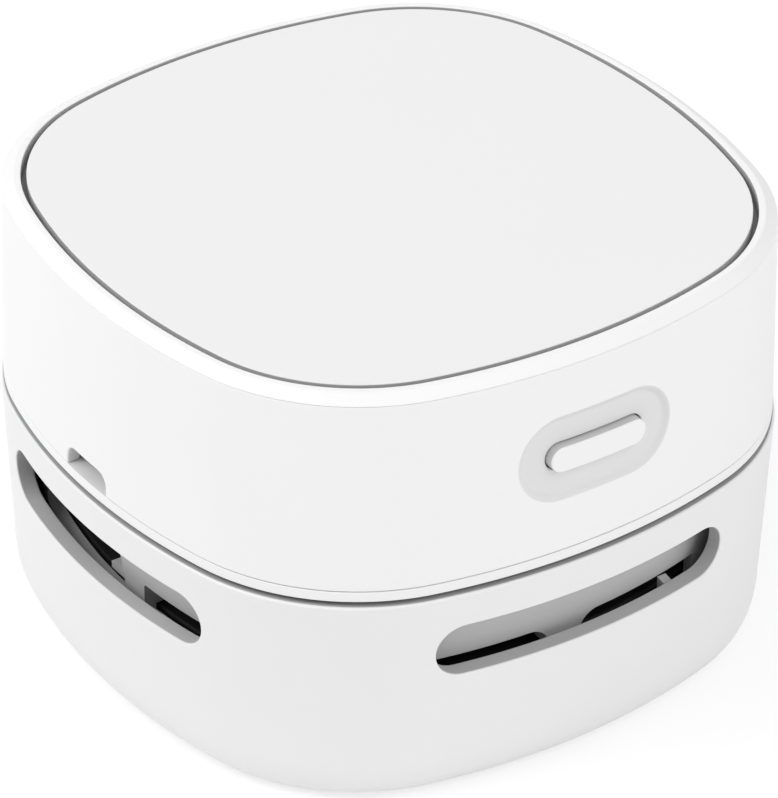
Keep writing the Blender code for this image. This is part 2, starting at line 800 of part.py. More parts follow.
def standoff_places():
    near = control_board_edge() + STANDOFF_INSET_X
    far = control_board_end() - STANDOFF_INSET_X
    across = CONTROL_HALF - STANDOFF_INSET_Y
    return [(near, -across), (near, across), (far, -across), (far, across)]


def base_plate(parent):
    """Rim, spigot and skirt in one moulding, with the motor well, pillars and posts."""
    def body(bm):
        spigot_bottom = RIM_BOTTOM - SPIGOT_DEPTH
        outline_solid(bm, ((BODY_HALF, PLATE_TOP), (BODY_HALF, RIM_BOTTOM),
                           (SPIGOT_HALF, RIM_BOTTOM), (SPIGOT_HALF, spigot_bottom),
                           (SKIRT_HALF, spigot_bottom), (SKIRT_HALF, SKIRT_BOTTOM),
                           (SKIRT_INNER, SKIRT_BOTTOM), (SKIRT_INNER, PLATE_BOTTOM)))

    def adds(bm):
        turned(bm, ((WELL_RADIUS + WELL_WALL, WELL_BOTTOM),
                    (WELL_RADIUS + WELL_WALL, PLATE_BOTTOM + SINK)), ROUND_FINE)
        for side in SIDES:
            shift = pillar_shift(side)
            block(bm, (shift - PILLAR_HALF, -SKIRT_INNER - SINK, PILLAR_BOTTOM),
                  (shift + PILLAR_HALF, -SKIRT_INNER + PILLAR_DEPTH, PLATE_BOTTOM + SINK), side)

    def posts(bm):
        for place in standoff_places():
            turned(bm, ((STANDOFF_RADIUS, PLATE_TOP - SINK), (STANDOFF_RADIUS, BOARD_BOTTOM - GAP)),
                   ROUND_SMALL, place)
        near = -switch_board_back() + GAP
        for x in (-POST_PLACE_X, POST_PLACE_X):
            block(bm, (x - POST_HALF, near, PLATE_TOP - SINK),
                  (x + POST_HALF, near + POST_DEPTH, switch_board_top() - GAP))

    def holes(bm):
        turned(bm, ((MOTOR_BOSS_RADIUS + GAP, WELL_BOTTOM - OVERRUN), (MOTOR_BOSS_RADIUS + GAP, WELL_TOP),
                    (WELL_RADIUS, WELL_TOP), (WELL_RADIUS, PLATE_TOP + OVERRUN)), ROUND_FINE)
        for place in corner_places(boss_place()):
            turned(bm, ((CASE_SCREW_RADIUS + GAP, PLATE_BOTTOM - OVERRUN),
                        (CASE_SCREW_RADIUS + GAP, PLATE_TOP + OVERRUN)), ROUND_SMALL, place)
        for place in cover_screw_places():
            tip = COVER_BOTTOM - GAP + COVER_SCREW_LENGTH
            turned(bm, ((COVER_SCREW_RADIUS + GAP, PILLAR_BOTTOM - GAP),
                        (COVER_SCREW_RADIUS + GAP, tip + GAP)), ROUND_SMALL, place)
        for x in (-POST_PLACE_X, POST_PLACE_X):
            level_pin(bm, BOARD_SCREW_RADIUS + GAP, -switch_board_back(),
                      board_screw_tip() + GAP, x, board_screw_z(), ROUND_SMALL)

    def well_holes(bm):
        for place in motor_screw_places():
            turned(bm, ((MOTOR_SCREW_RADIUS + GAP, WELL_BOTTOM - GAP),
                        (MOTOR_SCREW_RADIUS + GAP, WELL_TOP + GAP)), ROUND_SMALL, place)

    def windows(bm):
        sill = SKIRT_BOTTOM + WINDOW_SILL
        near = -BODY_HALF
        far = -SKIRT_INNER + PILLAR_DEPTH - SINK
        for side in SIDES:
            shift = pillar_shift(side)
            window_bar(bm, shift + WINDOW_INNER, WINDOW_OUTER, sill, WINDOW_TOP, WINDOW_CORNER,
                       near, far, side)
            if side == "left":
                window_bar(bm, -OUTLET_OUTER, shift - PILLAR_HALF - OUTLET_EDGE, sill, OUTLET_TOP,
                           OUTLET_CORNER, near, far, side)
            else:
                window_bar(bm, -WINDOW_OUTER, shift - WINDOW_INNER, sill, WINDOW_TOP,
                           WINDOW_CORNER, near, far, side)

    piece = mesh_object("base_plate", body, skirt_grey(), parent)
    reshape(piece, "UNION", adds)
    reshape(piece, "UNION", posts, "_posts")
    reshape(piece, "DIFFERENCE", holes)
    reshape(piece, "DIFFERENCE", well_holes, "_well")
    reshape(piece, "DIFFERENCE", windows, "_windows")


def fan_cover(parent):
    def body(bm):
        outline_solid(bm, ((COVER_HALF, COVER_BOTTOM), (COVER_HALF, COVER_TOP)))

    def cuts(bm):
        turned(bm, ((COVER_EYE, COVER_BOTTOM - OVERRUN), (COVER_EYE, COVER_TOP + OVERRUN)), ROUND_FINE)
        for place in cover_screw_places():
            turned(bm, ((COVER_SCREW_RADIUS + GAP, COVER_BOTTOM - OVERRUN),
                        (COVER_SCREW_RADIUS + GAP, COVER_TOP + OVERRUN)), ROUND_SMALL, place)

    piece = mesh_object("fan_cover", body, dark_plastic(), parent)
    reshape(piece, "DIFFERENCE", cuts)


def upright_screw(name, place, under_head, radius, length, parent):
    """A pan-head screw driven upwards: its head hangs below the named height."""
    head = radius * SCREW_HEAD_SHARE

    def body(bm):
        turned(bm, ((head, under_head - SCREW_HEAD_THICK), (head, under_head), (radius, under_head),
                    (radius, under_head + length)), ROUND_SMALL, place)

    mesh_object(name, body, steel(), parent, pivot=(*place, under_head), smooth=True)


def board_screw(name, x, parent):
    """A screw driven towards the back through the switch board into its post."""
    front = -switch_board_front() - GAP
    head = BOARD_SCREW_RADIUS * SCREW_HEAD_SHARE

    def body(bm):
        loops = []
        for radius, y in ((head, front - SCREW_HEAD_THICK), (head, front),
                          (BOARD_SCREW_RADIUS, front), (BOARD_SCREW_RADIUS, board_screw_tip())):
            loop = []
            for step in range(ROUND_SMALL):
                angle = 2 * math.pi * step / ROUND_SMALL
                loop.append((x + radius * math.cos(angle), y, board_screw_z() + radius * math.sin(angle)))
            loops.append(loop)
        skin(bm, loops)

    mesh_object(name, body, steel(), parent, smooth=True)


def wall_distance(x, z):
    """How far the upper housing's front wall lies from the centre."""
    return side_distance(upper_outer_half(z), x)


def collar_end():
    """How far the collar behind the button hole ends from the centre."""
    return side_distance(upper_outer_half(BUTTON_Z) - UPPER_WALL, 0.0) - COLLAR_DEPTH


def button_flange_back():
    return collar_end() - GAP - FLANGE_DEPTH


def plunger_front():
    return button_flange_back() - NUB_LENGTH - GAP


def switch_front():
    return plunger_front() - PLUNGER_OUT


def switch_board_front():
    return switch_front() - SWITCH_DEPTH - GAP


def switch_board_back():
    return switch_board_front() - BOARD_THICK


def switch_board_top():
    return BUTTON_Z + SWITCH_BOARD_ABOVE


def board_screw_z():
    return BUTTON_Z + BOARD_SCREW_RISE


def board_screw_tip():
    return -switch_board_front() - GAP + BOARD_SCREW_LENGTH


def bowed_stadium(bm, near_half, far_half, centre_z, near, far):
    """A stadium solid on the front wall; near and far give its two faces' distances at (x, z)."""
    near_x, near_z = near_half
    far_x, far_z = far_half
    columns = []
    for step in range(-BOW_STEPS, BOW_STEPS + 1):
        share = abs(step) / BOW_STEPS
        sign = 1 if step >= 0 else -1
        angle = END_ANGLE * max(0.0, share - BOW_FLAT_SHARE) / (1 - BOW_FLAT_SHARE)
        flat = min(1.0, share / BOW_FLAT_SHARE)
        columns.append((sign, flat, math.sin(angle), math.cos(angle)))
    loops = []
    for sign, flat, along, up in columns:
        loop = []
        for half_x, half_z, distance, rise in ((near_x, near_z, near, 1), (near_x, near_z, near, -1),
                                               (far_x, far_z, far, -1), (far_x, far_z, far, 1)):
            x = sign * (flat * (half_x - half_z) + along * half_z)
            z = centre_z + rise * up * half_z
            loop.append((x, -distance(x, z), z))
        loops.append(loop)
    skin(bm, loops)


def upper_shell(parent):
    inner_top = upper_outer_half(DECK_BOTTOM) - UPPER_WALL

    def body(bm):
        outline_solid(bm, ((inner_top, DECK_BOTTOM), (BODY_HALF - UPPER_WALL, SHELL_BOTTOM),
                           (BODY_HALF, SHELL_BOTTOM), (UPPER_TOP_HALF, UPSTAND_TOP),
                           (UPPER_TOP_HALF - UPSTAND_WIDTH, UPSTAND_TOP),
                           (UPPER_TOP_HALF - UPSTAND_WIDTH, DECK_TOP)))

    def adds(bm):
        for place in corner_places(boss_place()):
            turned(bm, ((CASE_BOSS_RADIUS, SHELL_BOTTOM), (CASE_BOSS_RADIUS, DECK_BOTTOM + SINK)),
                   ROUND_SMALL, place)
        half_x = BUTTON_HALF_X + GAP + COLLAR_MARGIN
        half_z = BUTTON_HALF_Z + GAP + COLLAR_MARGIN
        wall_inside = side_distance(upper_outer_half(BUTTON_Z) - UPPER_WALL, half_x)
        stadium_bar(bm, half_x, half_z, BUTTON_Z, -wall_inside - COLLAR_BITE, -collar_end())

    def cuts(bm):
        pilot_top = PLATE_BOTTOM - GAP + CASE_SCREW_LENGTH + CASE_PILOT_SPARE
        for place in corner_places(boss_place()):
            turned(bm, ((CASE_SCREW_RADIUS + GAP, SHELL_BOTTOM - OVERRUN),
                        (CASE_SCREW_RADIUS + GAP, pilot_top)),
                   ROUND_SMALL, place)
        window_bar(bm, -NOTCH_HALF, NOTCH_HALF, SHELL_BOTTOM - OVERRUN, RIM_TOP + NOTCH_HEIGHT,
                   NOTCH_CORNER, -BODY_HALF - OVERRUN, -BODY_HALF + UPPER_WALL + SINK, "left")

    def dish(bm):
        bowed_stadium(bm, (DISH_HALF_X + DISH_SLOPE, DISH_HALF_Z + DISH_SLOPE),
                      (DISH_HALF_X - DISH_SLOPE, DISH_HALF_Z - DISH_SLOPE), DISH_Z,
                      lambda x, z: wall_distance(x, z) + DISH_DEPTH,
                      lambda x, z: wall_distance(x, z) - DISH_DEPTH)

    def button_hole(bm):
        stadium_bar(bm, BUTTON_HALF_X + GAP, BUTTON_HALF_Z + GAP, BUTTON_Z,
                    -BODY_HALF - OVERRUN, -collar_end() + OVERRUN)

    piece = mesh_object("upper_shell", body, shell_white(), parent)
    reshape(piece, "UNION", adds)
    reshape(piece, "DIFFERENCE", cuts)
    reshape(piece, "DIFFERENCE", dish, "_dish")
    reshape(piece, "DIFFERENCE", button_hole, "_hole")


def top_trim(parent):
    edge = TOP - TRIM_EDGE_HEIGHT
    spigot = UPPER_TOP_HALF - UPSTAND_WIDTH - GAP

    def body(bm):
        outline_solid(bm, ((UPPER_TOP_HALF, edge), (TRIM_HALF, TOP), (GROOVE_OUTER, TOP),
                           (GROOVE_OUTER, DECK_TOP + GAP), (spigot, DECK_TOP + GAP),
                           (spigot, edge)), closed=True)

    mesh_object("top_trim", body, shell_white(), parent)


def top_panel(parent):
    def body(bm):
        outline_solid(bm, ((PANEL_HALF, TOP - PANEL_THICK), (PANEL_HALF, TOP)))

    mesh_object("top_panel", body, panel_white(), parent)


def motor(parent):
    bore = SHAFT_RADIUS + GAP
    boss_bottom = MOTOR_BOTTOM - MOTOR_BOSS_RISE

    def can(bm):
        turned(bm, ((bore, boss_bottom), (MOTOR_BOSS_RADIUS, boss_bottom),
                    (MOTOR_BOSS_RADIUS, MOTOR_BOTTOM), (MOTOR_RADIUS, MOTOR_BOTTOM),
                    (MOTOR_RADIUS, MOTOR_TOP), (bore, MOTOR_TOP)), ROUND_FINE, closed=True)

    def threads(bm):
        tip = WELL_BOTTOM - GAP + MOTOR_SCREW_LENGTH
        for place in motor_screw_places():
            turned(bm, ((MOTOR_SCREW_RADIUS + GAP, MOTOR_BOTTOM - GAP),
                        (MOTOR_SCREW_RADIUS + GAP, tip + GAP)), ROUND_SMALL, place)

    def end_cap(bm):
        rim = MOTOR_RADIUS - CAP_INSET
        turned(bm, ((bore, CAP_BOTTOM), (rim, CAP_BOTTOM), (rim, CAP_TOP), (bore, CAP_TOP)),
               ROUND_FINE, closed=True)

    def damper(bm):
        inner = MOTOR_RADIUS + GAP
        bottom = WELL_TOP + GAP
        turned(bm, ((inner, bottom), (inner + DAMPER_THICK, bottom),
                    (inner + DAMPER_THICK, bottom + DAMPER_HEIGHT), (inner, bottom + DAMPER_HEIGHT)),
               ROUND_FINE, closed=True)

    piece = mesh_object("motor_can", can, steel(), parent)
    reshape(piece, "DIFFERENCE", threads)
    mesh_object("motor_end_cap", end_cap, dark_plastic(), parent)
    mesh_object("motor_damper", damper, rubber(), parent)
    for index, sign in ((1, -1), (2, 1)):
        def terminal(bm, centre=sign * TERMINAL_PLACE_Y):
            block(bm, (-TERMINAL_PLACE_X, centre - TERMINAL_HALF, CAP_TOP + GAP),
                  (-TERMINAL_PLACE_X + TERMINAL_THICK, centre + TERMINAL_HALF, TERMINAL_TOP))

        mesh_object(f"motor_terminal_{index}", terminal, brass(), parent)


def rotor(parent):
    bore = SHAFT_RADIUS + GAP

    def shaft(bm):
        turned(bm, ((SHAFT_RADIUS, HUB_BOTTOM + GAP), (SHAFT_RADIUS, CAP_TOP - GAP)), ROUND_SMALL)

    def wheel(bm):
        turned(bm, ((bore, HUB_BOTTOM), (HUB_RADIUS, HUB_BOTTOM), (HUB_RADIUS, IMPELLER_UNDER),
                    (IMPELLER_RADIUS, IMPELLER_UNDER), (IMPELLER_RADIUS, IMPELLER_TOP),
                    (HUB_RADIUS, IMPELLER_TOP), (HUB_RADIUS, HUB_TOP), (bore, HUB_TOP)),
               ROUND_FINE, closed=True)

    def blades(bm):
        for blade in range(BLADE_COUNT):
            start = 2 * math.pi * blade / BLADE_COUNT
            loops = []
            for step in range(BLADE_STEPS + 1):
                share = step / BLADE_STEPS
                radius = BLADE_INNER + (IMPELLER_RADIUS - SINK - BLADE_INNER) * share
                angle = start + BLADE_SWEEP * share ** 2
                across = BLADE_THICK / 2
                middle = Vector((radius * math.cos(angle), radius * math.sin(angle), 0.0))
                side = Vector((-math.sin(angle), math.cos(angle), 0.0)) * across
                loops.append([middle + side + Vector((0, 0, BLADE_BOTTOM)),
                              middle - side + Vector((0, 0, BLADE_BOTTOM)),
                              middle - side + Vector((0, 0, IMPELLER_UNDER + SINK)),
                              middle + side + Vector((0, 0, IMPELLER_UNDER + SINK))])
            skin(bm, loops)

    mesh_object("motor_shaft", shaft, steel(), parent, smooth=True)
    piece = mesh_object("impeller", wheel, dark_plastic(), parent)
    reshape(piece, "UNION", blades)


def battery(parent):
    end = boss_place() - CASE_BOSS_RADIUS - CELL_END_CLEAR
    holder_end = end - HOLDER_SHORT
    holder_half = CELL_RADIUS - HOLDER_NARROW
    wall = side_distance(BODY_HALF - UPPER_WALL, end)
    cell_y = MOTOR_RADIUS + (wall - MOTOR_RADIUS) * CELL_PLACE_SHARE

    def holder(bm):
        block(bm, (-holder_end, cell_y - holder_half, SHELL_BOTTOM),
              (holder_end, cell_y + holder_half, SHELL_BOTTOM + HOLDER_HEIGHT))

    def trough(bm):
        level_pin(bm, CELL_RADIUS + GAP, -end - OVERRUN, end + OVERRUN, cell_y, CELL_Z, ROUND_FINE,
                  "right")

    def cell(bm):
        level_pin(bm, CELL_RADIUS, -end, end, cell_y, CELL_Z, ROUND_FINE, "right")

    piece = mesh_object("battery_holder", holder, dark_plastic(), parent)
    reshape(piece, "DIFFERENCE", trough)
    mesh_object("battery_cell", cell, cell_wrap(), parent, smooth=True)
    for index, sign in ((1, -1), (2, 1)):
        def tab(bm, near=sign * (end + GAP), far=sign * (end + GAP + TAB_THICK)):
            block(bm, (min(near, far), cell_y - TAB_FRONT, CELL_Z - TAB_HALF),
                  (max(near, far), cell_y + TAB_BACK, CELL_Z + TAB_HALF))

        mesh_object(f"battery_tab_{index}", tab, steel(), parent)


def control_board(parent):
    edge = control_board_edge()
    mouth = -(BODY_HALF - SOCKET_SET_BACK)

    def board(bm):
        block(bm, (edge, -CONTROL_HALF, BOARD_BOTTOM), (control_board_end(), CONTROL_HALF, BOARD_TOP))

    def chip(bm):
        block(bm, (edge + CHIP_PLACE, -CHIP_HALF, BOARD_TOP + GAP),
              (edge + CHIP_PLACE + CHIP_LENGTH, CHIP_HALF, BOARD_TOP + GAP + CHIP_THICK))

    def socket(bm):
        block(bm, (mouth, -SOCKET_HALF, SHELL_BOTTOM),
              (mouth + SOCKET_DEPTH, SOCKET_HALF, SHELL_BOTTOM + SOCKET_HEIGHT))

    def socket_mouth(bm):
        block(bm, (mouth - OVERRUN, -SOCKET_HALF + SOCKET_SHEET, SHELL_BOTTOM + SOCKET_SHEET),
              (mouth + SOCKET_MOUTH_DEPTH, SOCKET_HALF - SOCKET_SHEET,
               SHELL_BOTTOM + SOCKET_HEIGHT - SOCKET_SHEET))

    mesh_object("control_board", board, board_green(), parent)
    mesh_object("control_chip", chip, dark_plastic(), parent)
    piece = mesh_object("charge_socket", socket, steel(), parent)
    reshape(piece, "DIFFERENCE", socket_mouth)


def switch(parent):
    front = -switch_front()
    back = front + SWITCH_DEPTH
    board_front = -switch_board_front()
    board_back = -switch_board_back()

    def case(bm):
        block(bm, (-SWITCH_HALF, front, BUTTON_Z - SWITCH_HALF), (SWITCH_HALF, back, BUTTON_Z + SWITCH_HALF))

    def bore(bm):
        level_pin(bm, PLUNGER_RADIUS + GAP, front - OVERRUN, front + PLUNGER_IN + BUTTON_TRAVEL + GAP,
                  0.0, BUTTON_Z, ROUND_MID)

    def board(bm):
        block(bm, (-SWITCH_BOARD_HALF_X, board_front, BUTTON_Z - SWITCH_BOARD_BELOW),
              (SWITCH_BOARD_HALF_X, board_back, switch_board_top()))

    def board_holes(bm):
        for x in (-POST_PLACE_X, POST_PLACE_X):
            level_pin(bm, BOARD_SCREW_RADIUS + GAP, board_front - OVERRUN, board_back + OVERRUN,
                      x, board_screw_z(), ROUND_SMALL)

    piece = mesh_object("switch_body", case, dark_plastic(), parent)
    reshape(piece, "DIFFERENCE", bore)
    piece = mesh_object("switch_board", board, board_green(), parent)
    reshape(piece, "DIFFERENCE", board_holes)
    board_screw("switch_board_screw_1", -POST_PLACE_X, parent)
    board_screw("switch_board_screw_2", POST_PLACE_X, parent)


def power_button(parent):
    proud = BUTTON_PROUD - DISH_DEPTH
    flange_front = collar_end() - GAP
    flange_back = button_flange_back()

    def head(bm):
        size = (BUTTON_HALF_X, BUTTON_HALF_Z)
        bowed_stadium(bm, size, size, BUTTON_Z, lambda x, z: wall_distance(x, z) + proud,
                      lambda x, z: flange_front - SINK)

    def flange(bm):
        stadium_bar(bm, BUTTON_HALF_X + FLANGE_EXTRA, BUTTON_HALF_Z + FLANGE_EXTRA, BUTTON_Z,
                    -flange_front, -flange_back)

    def nub(bm):
        level_pin(bm, NUB_RADIUS, -flange_back - SINK, -flange_back + NUB_LENGTH, 0.0, BUTTON_Z,
                  ROUND_SMALL)

    piece = mesh_object("power_button", head, shell_white(), parent)
    reshape(piece, "UNION", flange)
    reshape(piece, "UNION", nub, "_nub")


def switch_plunger(parent):
    def body(bm):
        level_pin(bm, PLUNGER_RADIUS, -plunger_front(), -switch_front() + PLUNGER_IN, 0.0, BUTTON_Z,
                  ROUND_MID)

    mesh_object("switch_plunger", body, rubber(), parent, smooth=True)


def smooth_route(points):
    """Points of even spacing on a curve through the route's own points."""
    knots = [Vector(point) for point in points]
    knots = [knots[0] * 2 - knots[1]] + knots + [knots[-1] * 2 - knots[-2]]
    route = []
    for index in range(1, len(knots) - 2):
        before, start, end, after = knots[index - 1:index + 3]
        count = max(1, round((end - start).length / WIRE_STEP))
        for step in range(count):
            t = step / count
            route.append(0.5 * (2 * start + (end - before) * t
                                + (2 * before - 5 * start + 4 * end - after) * t ** 2
                                + (3 * start - before - 3 * end + after) * t ** 3))
    route.append(knots[-2])
    return route


def wire(name, points, look, parent):
    """An insulated wire: a tube along a route."""
    curve = bpy.data.curves.new(name, "CURVE")
    curve.dimensions = "3D"
    curve.bevel_depth = WIRE_RADIUS
    curve.bevel_resolution = 2
    curve.use_fill_caps = True
    route = [point + Vector((0.0, 0.0, RIM_TOP)) for point in smooth_route(points)]
    spline = curve.splines.new("POLY")
    spline.points.add(len(route) - 1)
    for place, point in zip(spline.points, route):
        place.co = (*point, 1.0)
    curve.materials.append(look)
    made = bpy.data.objects.new(name, curve)
    bpy.context.scene.collection.objects.link(made)
    made.parent = parent
    made.location = -parent.matrix_world.translation


def wires(parent):
    red = material("wire_red", WIRE_RED, 0.5)
    black = material("wire_black", WIRE_BLACK, 0.5)
    for name, route, look in (("motor_lead_1", MOTOR_ROUTE_1, black), ("motor_lead_2", MOTOR_ROUTE_2, red),
                              ("battery_lead_1", BATTERY_ROUTE_1, black),
                              ("battery_lead_2", BATTERY_ROUTE_2, red),
                              ("switch_lead_1", SWITCH_ROUTE_1, black),
                              ("switch_lead_2", SWITCH_ROUTE_2, red)):
        wire(name, route, look, parent)


def main():
    clear_scene()
    cup = group("dust_cup_group")
    dust_shell(cup)
    inlet_frame(cup)
    brush("brush_front", -1, cup)
    brush("brush_rear", 1, cup)
    for index, (x, y) in enumerate(corner_places(foot_place()), 1):
        foot(f"foot_{index}", x, y, cup)

    strainer = group("filter_group", (0.0, 0.0, FILTER_BOTTOM), cup)
    filter_frame(strainer)
    filter_cloth(strainer)
    filter_gasket(strainer)

    unit = group("motor_unit_group", (0.0, 0.0, CUP_HEIGHT), cup)
    base_plate(unit)
    fan_cover(unit)
    upper_shell(unit)
    top_trim(unit)
    top_panel(unit)
    motor(unit)
    battery(unit)
    control_board(unit)
    switch(unit)
    wires(unit)
    for index, place in enumerate(cover_screw_places(), 1):
        upright_screw(f"fan_cover_screw_{index}", place, COVER_BOTTOM - GAP,
                      COVER_SCREW_RADIUS, COVER_SCREW_LENGTH, unit)
    for index, place in enumerate(corner_places(boss_place()), 1):
        upright_screw(f"case_screw_{index}", place, PLATE_BOTTOM - GAP,
                      CASE_SCREW_RADIUS, CASE_SCREW_LENGTH, unit)
    for index, place in enumerate(motor_screw_places(), 1):
        upright_screw(f"motor_screw_{index}", place, WELL_BOTTOM - GAP,
                      MOTOR_SCREW_RADIUS, MOTOR_SCREW_LENGTH, unit)

    rotor(group("rotor_axis", (0.0, 0.0, IMPELLER_TOP), unit))
    power_button(group("button_axis", (0.0, -wall_distance(0.0, BUTTON_Z), BUTTON_Z), unit))
    switch_plunger(group("plunger_axis", (0.0, -plunger_front(), BUTTON_Z), unit))


main()
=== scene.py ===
"""Looks of a desktop mini vacuum cleaner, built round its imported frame.

Laid out as a Blender add-on and run as a script. Everything is in metres, +Z up, with the
button on the -Y side and the charging notch on the -X side.
"""

import math

import bmesh
import bpy
from bpy.props import FloatProperty, FloatVectorProperty, IntProperty, PointerProperty
from mathutils import Matrix, Vector


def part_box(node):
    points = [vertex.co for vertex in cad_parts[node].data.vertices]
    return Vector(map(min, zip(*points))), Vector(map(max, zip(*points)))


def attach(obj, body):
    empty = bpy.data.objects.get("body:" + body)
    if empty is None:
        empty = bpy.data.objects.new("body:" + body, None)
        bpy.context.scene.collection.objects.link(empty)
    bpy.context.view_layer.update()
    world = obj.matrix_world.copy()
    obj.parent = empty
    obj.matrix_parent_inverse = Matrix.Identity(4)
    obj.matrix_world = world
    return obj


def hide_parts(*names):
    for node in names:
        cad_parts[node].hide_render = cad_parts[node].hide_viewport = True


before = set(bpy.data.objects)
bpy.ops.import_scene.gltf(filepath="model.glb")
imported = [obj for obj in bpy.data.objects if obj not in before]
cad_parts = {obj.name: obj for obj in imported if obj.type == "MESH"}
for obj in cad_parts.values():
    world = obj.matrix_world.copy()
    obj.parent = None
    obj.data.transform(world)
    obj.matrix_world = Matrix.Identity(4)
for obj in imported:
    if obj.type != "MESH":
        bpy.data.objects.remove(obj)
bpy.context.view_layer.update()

bl_info = {
    "name": "Mini Vacuum Cleaner",
    "version": (1, 0, 0),
    "blender": (4, 5, 0),
    "location": "View3D > Sidebar > Mini Vacuum",
    "description": "Builds the finished pieces of a desktop mini vacuum cleaner and its studio",
    "category": "Object",
}

SIDES = ("front", "right", "back", "left")
BRUSHES = ("brush_front", "brush_rear")
QUARTER = math.pi / 2
MERGE = 0.000001
CREASE = math.radians(40)
SHARP = math.radians(35)
FIT = 0.0003
SINK = 0.0004
WHITE = (1.0, 1.0, 1.0, 1.0)
SEAM_DROP = 0.00015
GRAIN_DEPTH, METAL_DEPTH, FELT_DEPTH, TRACE_DEPTH = 0.0001, 0.00005, 0.0002, 0.00003
# Sides of the round shapes: wide ones, feet, pins, screw holes and shanks
WIDE, FOOT, PIN, HOLE, SHANK = 96, 48, 32, 24, 20

# Corners of the frame's nodes that the pieces are built from
CUP_LOW, CUP_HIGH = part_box("dust_shell")
PLATE_LOW, PLATE_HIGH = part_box("base_plate")
SHELL_LOW, SHELL_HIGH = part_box("upper_shell")
BUTTON_LOW, BUTTON_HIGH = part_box("power_button")
COVER_LOW, COVER_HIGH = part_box("fan_cover")
FILTER_LOW, FILTER_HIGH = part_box("filter_frame")
SEAM_Z = SHELL_LOW.z - SEAM_DROP
BODY_HALF = PLATE_HIGH.x
BUTTON_Z = (BUTTON_LOW.z + BUTTON_HIGH.z) / 2
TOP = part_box("top_trim")[1].z

# Half sizes of the opening in the cup's floor, and the radius of its corners
INLET_HOLE = (0.0218, 0.0108)
INLET_CORNER = 0.0012
# Half sizes of the mesh patches round the dish, the notch and the button
DISH_PATCH = (0.014, 0.0075)
NOTCH_PATCH = 0.008
BUTTON_PATCH = (0.0088, 0.004)
# Step in the top of the housing that the rim's spigot drops in
RIM_STEP = 0.0009
# Width and depth of the collar behind the button's hole, and the flange behind the button
COLLAR_WIDTH, COLLAR_DEPTH = 0.0022, 0.0012
FLANGE_BACK, FLANGE_WIDTH, FLANGE_THICK = 0.0044, 0.0014, 0.0008
# Shares of the way to a patch's edge that the rows round an opening lie at
BLENDS = (1.0, 0.45, 0.2, 0.06, 0.0)
DISH_BLENDS = (1.0, 0.66, 0.33, 0.12, 0.0)
# Where the lights stand, and the point that they are aimed at
LAMPS = {"back": (-0.6, 1.4, 1.3), "side": (-1.3, 0.5, 1.4), "low": (0.25, -1.6, 0.3),
         "front": (0.3, -1.3, 1.5)}
LAMP_AIM = Vector((0.0, 0.0, 0.03))
FLOOR_HALF = 6.0
# What the floor's own glow and its diffuse white add up to
FLOOR_WHITE = 1.05
SENSOR_WIDTH, CLIP_START = 36.0, 0.01


# Properties

def length_prop(name, description, default):
    return FloatProperty(name=name, description=description, default=default, unit="LENGTH")


def angle_prop(name, description, degrees):
    return FloatProperty(name=name, description=description, default=math.radians(degrees),
                         subtype="ANGLE", unit="ROTATION")


def power_prop(name, description, default):
    return FloatProperty(name=name, description=description, default=default, unit="POWER")


def factor_prop(name, description, default):
    return FloatProperty(name=name, description=description, default=default, subtype="FACTOR")


def plain_prop(name, description, default):
    return FloatProperty(name=name, description=description, default=default)


def count_prop(name, description, default):
    return IntProperty(name=name, description=description, default=default)


def colour_prop(name, description, default):
    return FloatVectorProperty(name=name, description=description, default=default, size=3,
                               subtype="COLOR")


def place_prop(name, description, default):
    return FloatVectorProperty(name=name, description=description, default=default, size=3,
                               subtype="XYZ", unit="LENGTH")


class BodySizes(bpy.types.PropertyGroup):
    side_radius: length_prop("Side Radius", "Bow of the sides at the seam", 0.08357)
    corner_radius: length_prop("Corner Radius", "Round of the corners at the seam", 0.02672)
    seam: length_prop("Seam", "Gap between two mouldings", 0.00013)
    rim_seam: length_prop("Rim Seam", "Gap under the rim round the top", 0.00004)
    edge: length_prop("Edge Radius", "Radius on a moulding's outer edges", 0.00012)
    column: length_prop("Column Width", "Width of a mesh column on a side", 0.001)
    side_end: length_prop("Side End", "Where the even columns of a side end", 0.024)
    corner_columns: count_prop("Corner Columns", "Mesh columns in a corner", 18)
    edge_steps: count_prop("Edge Steps", "Mesh rows in a rounded edge", 4)


class CupSizes(bpy.types.PropertyGroup):
    wall: length_prop("Wall", "Wall of the dust cup", 0.00225)
    floor: length_prop("Floor", "Floor of the dust cup", 0.0020)
    lean: length_prop("Lean", "How far the walls lean out from foot to lip", 0.0010)
    foot_height: length_prop("Foot Height", "Height of the rounded foot", 0.0059)
    foot_inset: length_prop("Foot Inset", "Inset of the rounded foot", 0.0028)
    lip_edge: length_prop("Lip Edge", "Radius on the lip's outer edge", 0.0003)
    slot_half: length_prop("Slot Half Length", "Half an exhaust slot's length", 0.0205)
    slot_bottom: length_prop("Slot Bottom", "Height of an exhaust slot's lower edge", 0.0177)
    slot_height: length_prop("Slot Height", "Height of an exhaust slot", 0.00705)
    slot_edge: length_prop("Slot Edge", "Radius on an exhaust slot's edge", 0.00022)
    rib_offset: length_prop("Rib Place", "Place of a rib across its side", 0.0140)
    rib_wall: length_prop("Rib Thickness", "Thickness of a rib", 0.0012)
    rib_ledge: length_prop("Rib Ledge", "How far a rib carries the filter", 0.0036)
    patch_low: length_prop("Patch Bottom", "Where the mesh round a slot starts", 0.0147)
    patch_high: length_prop("Patch Top", "Where the mesh round a slot ends", 0.0278)


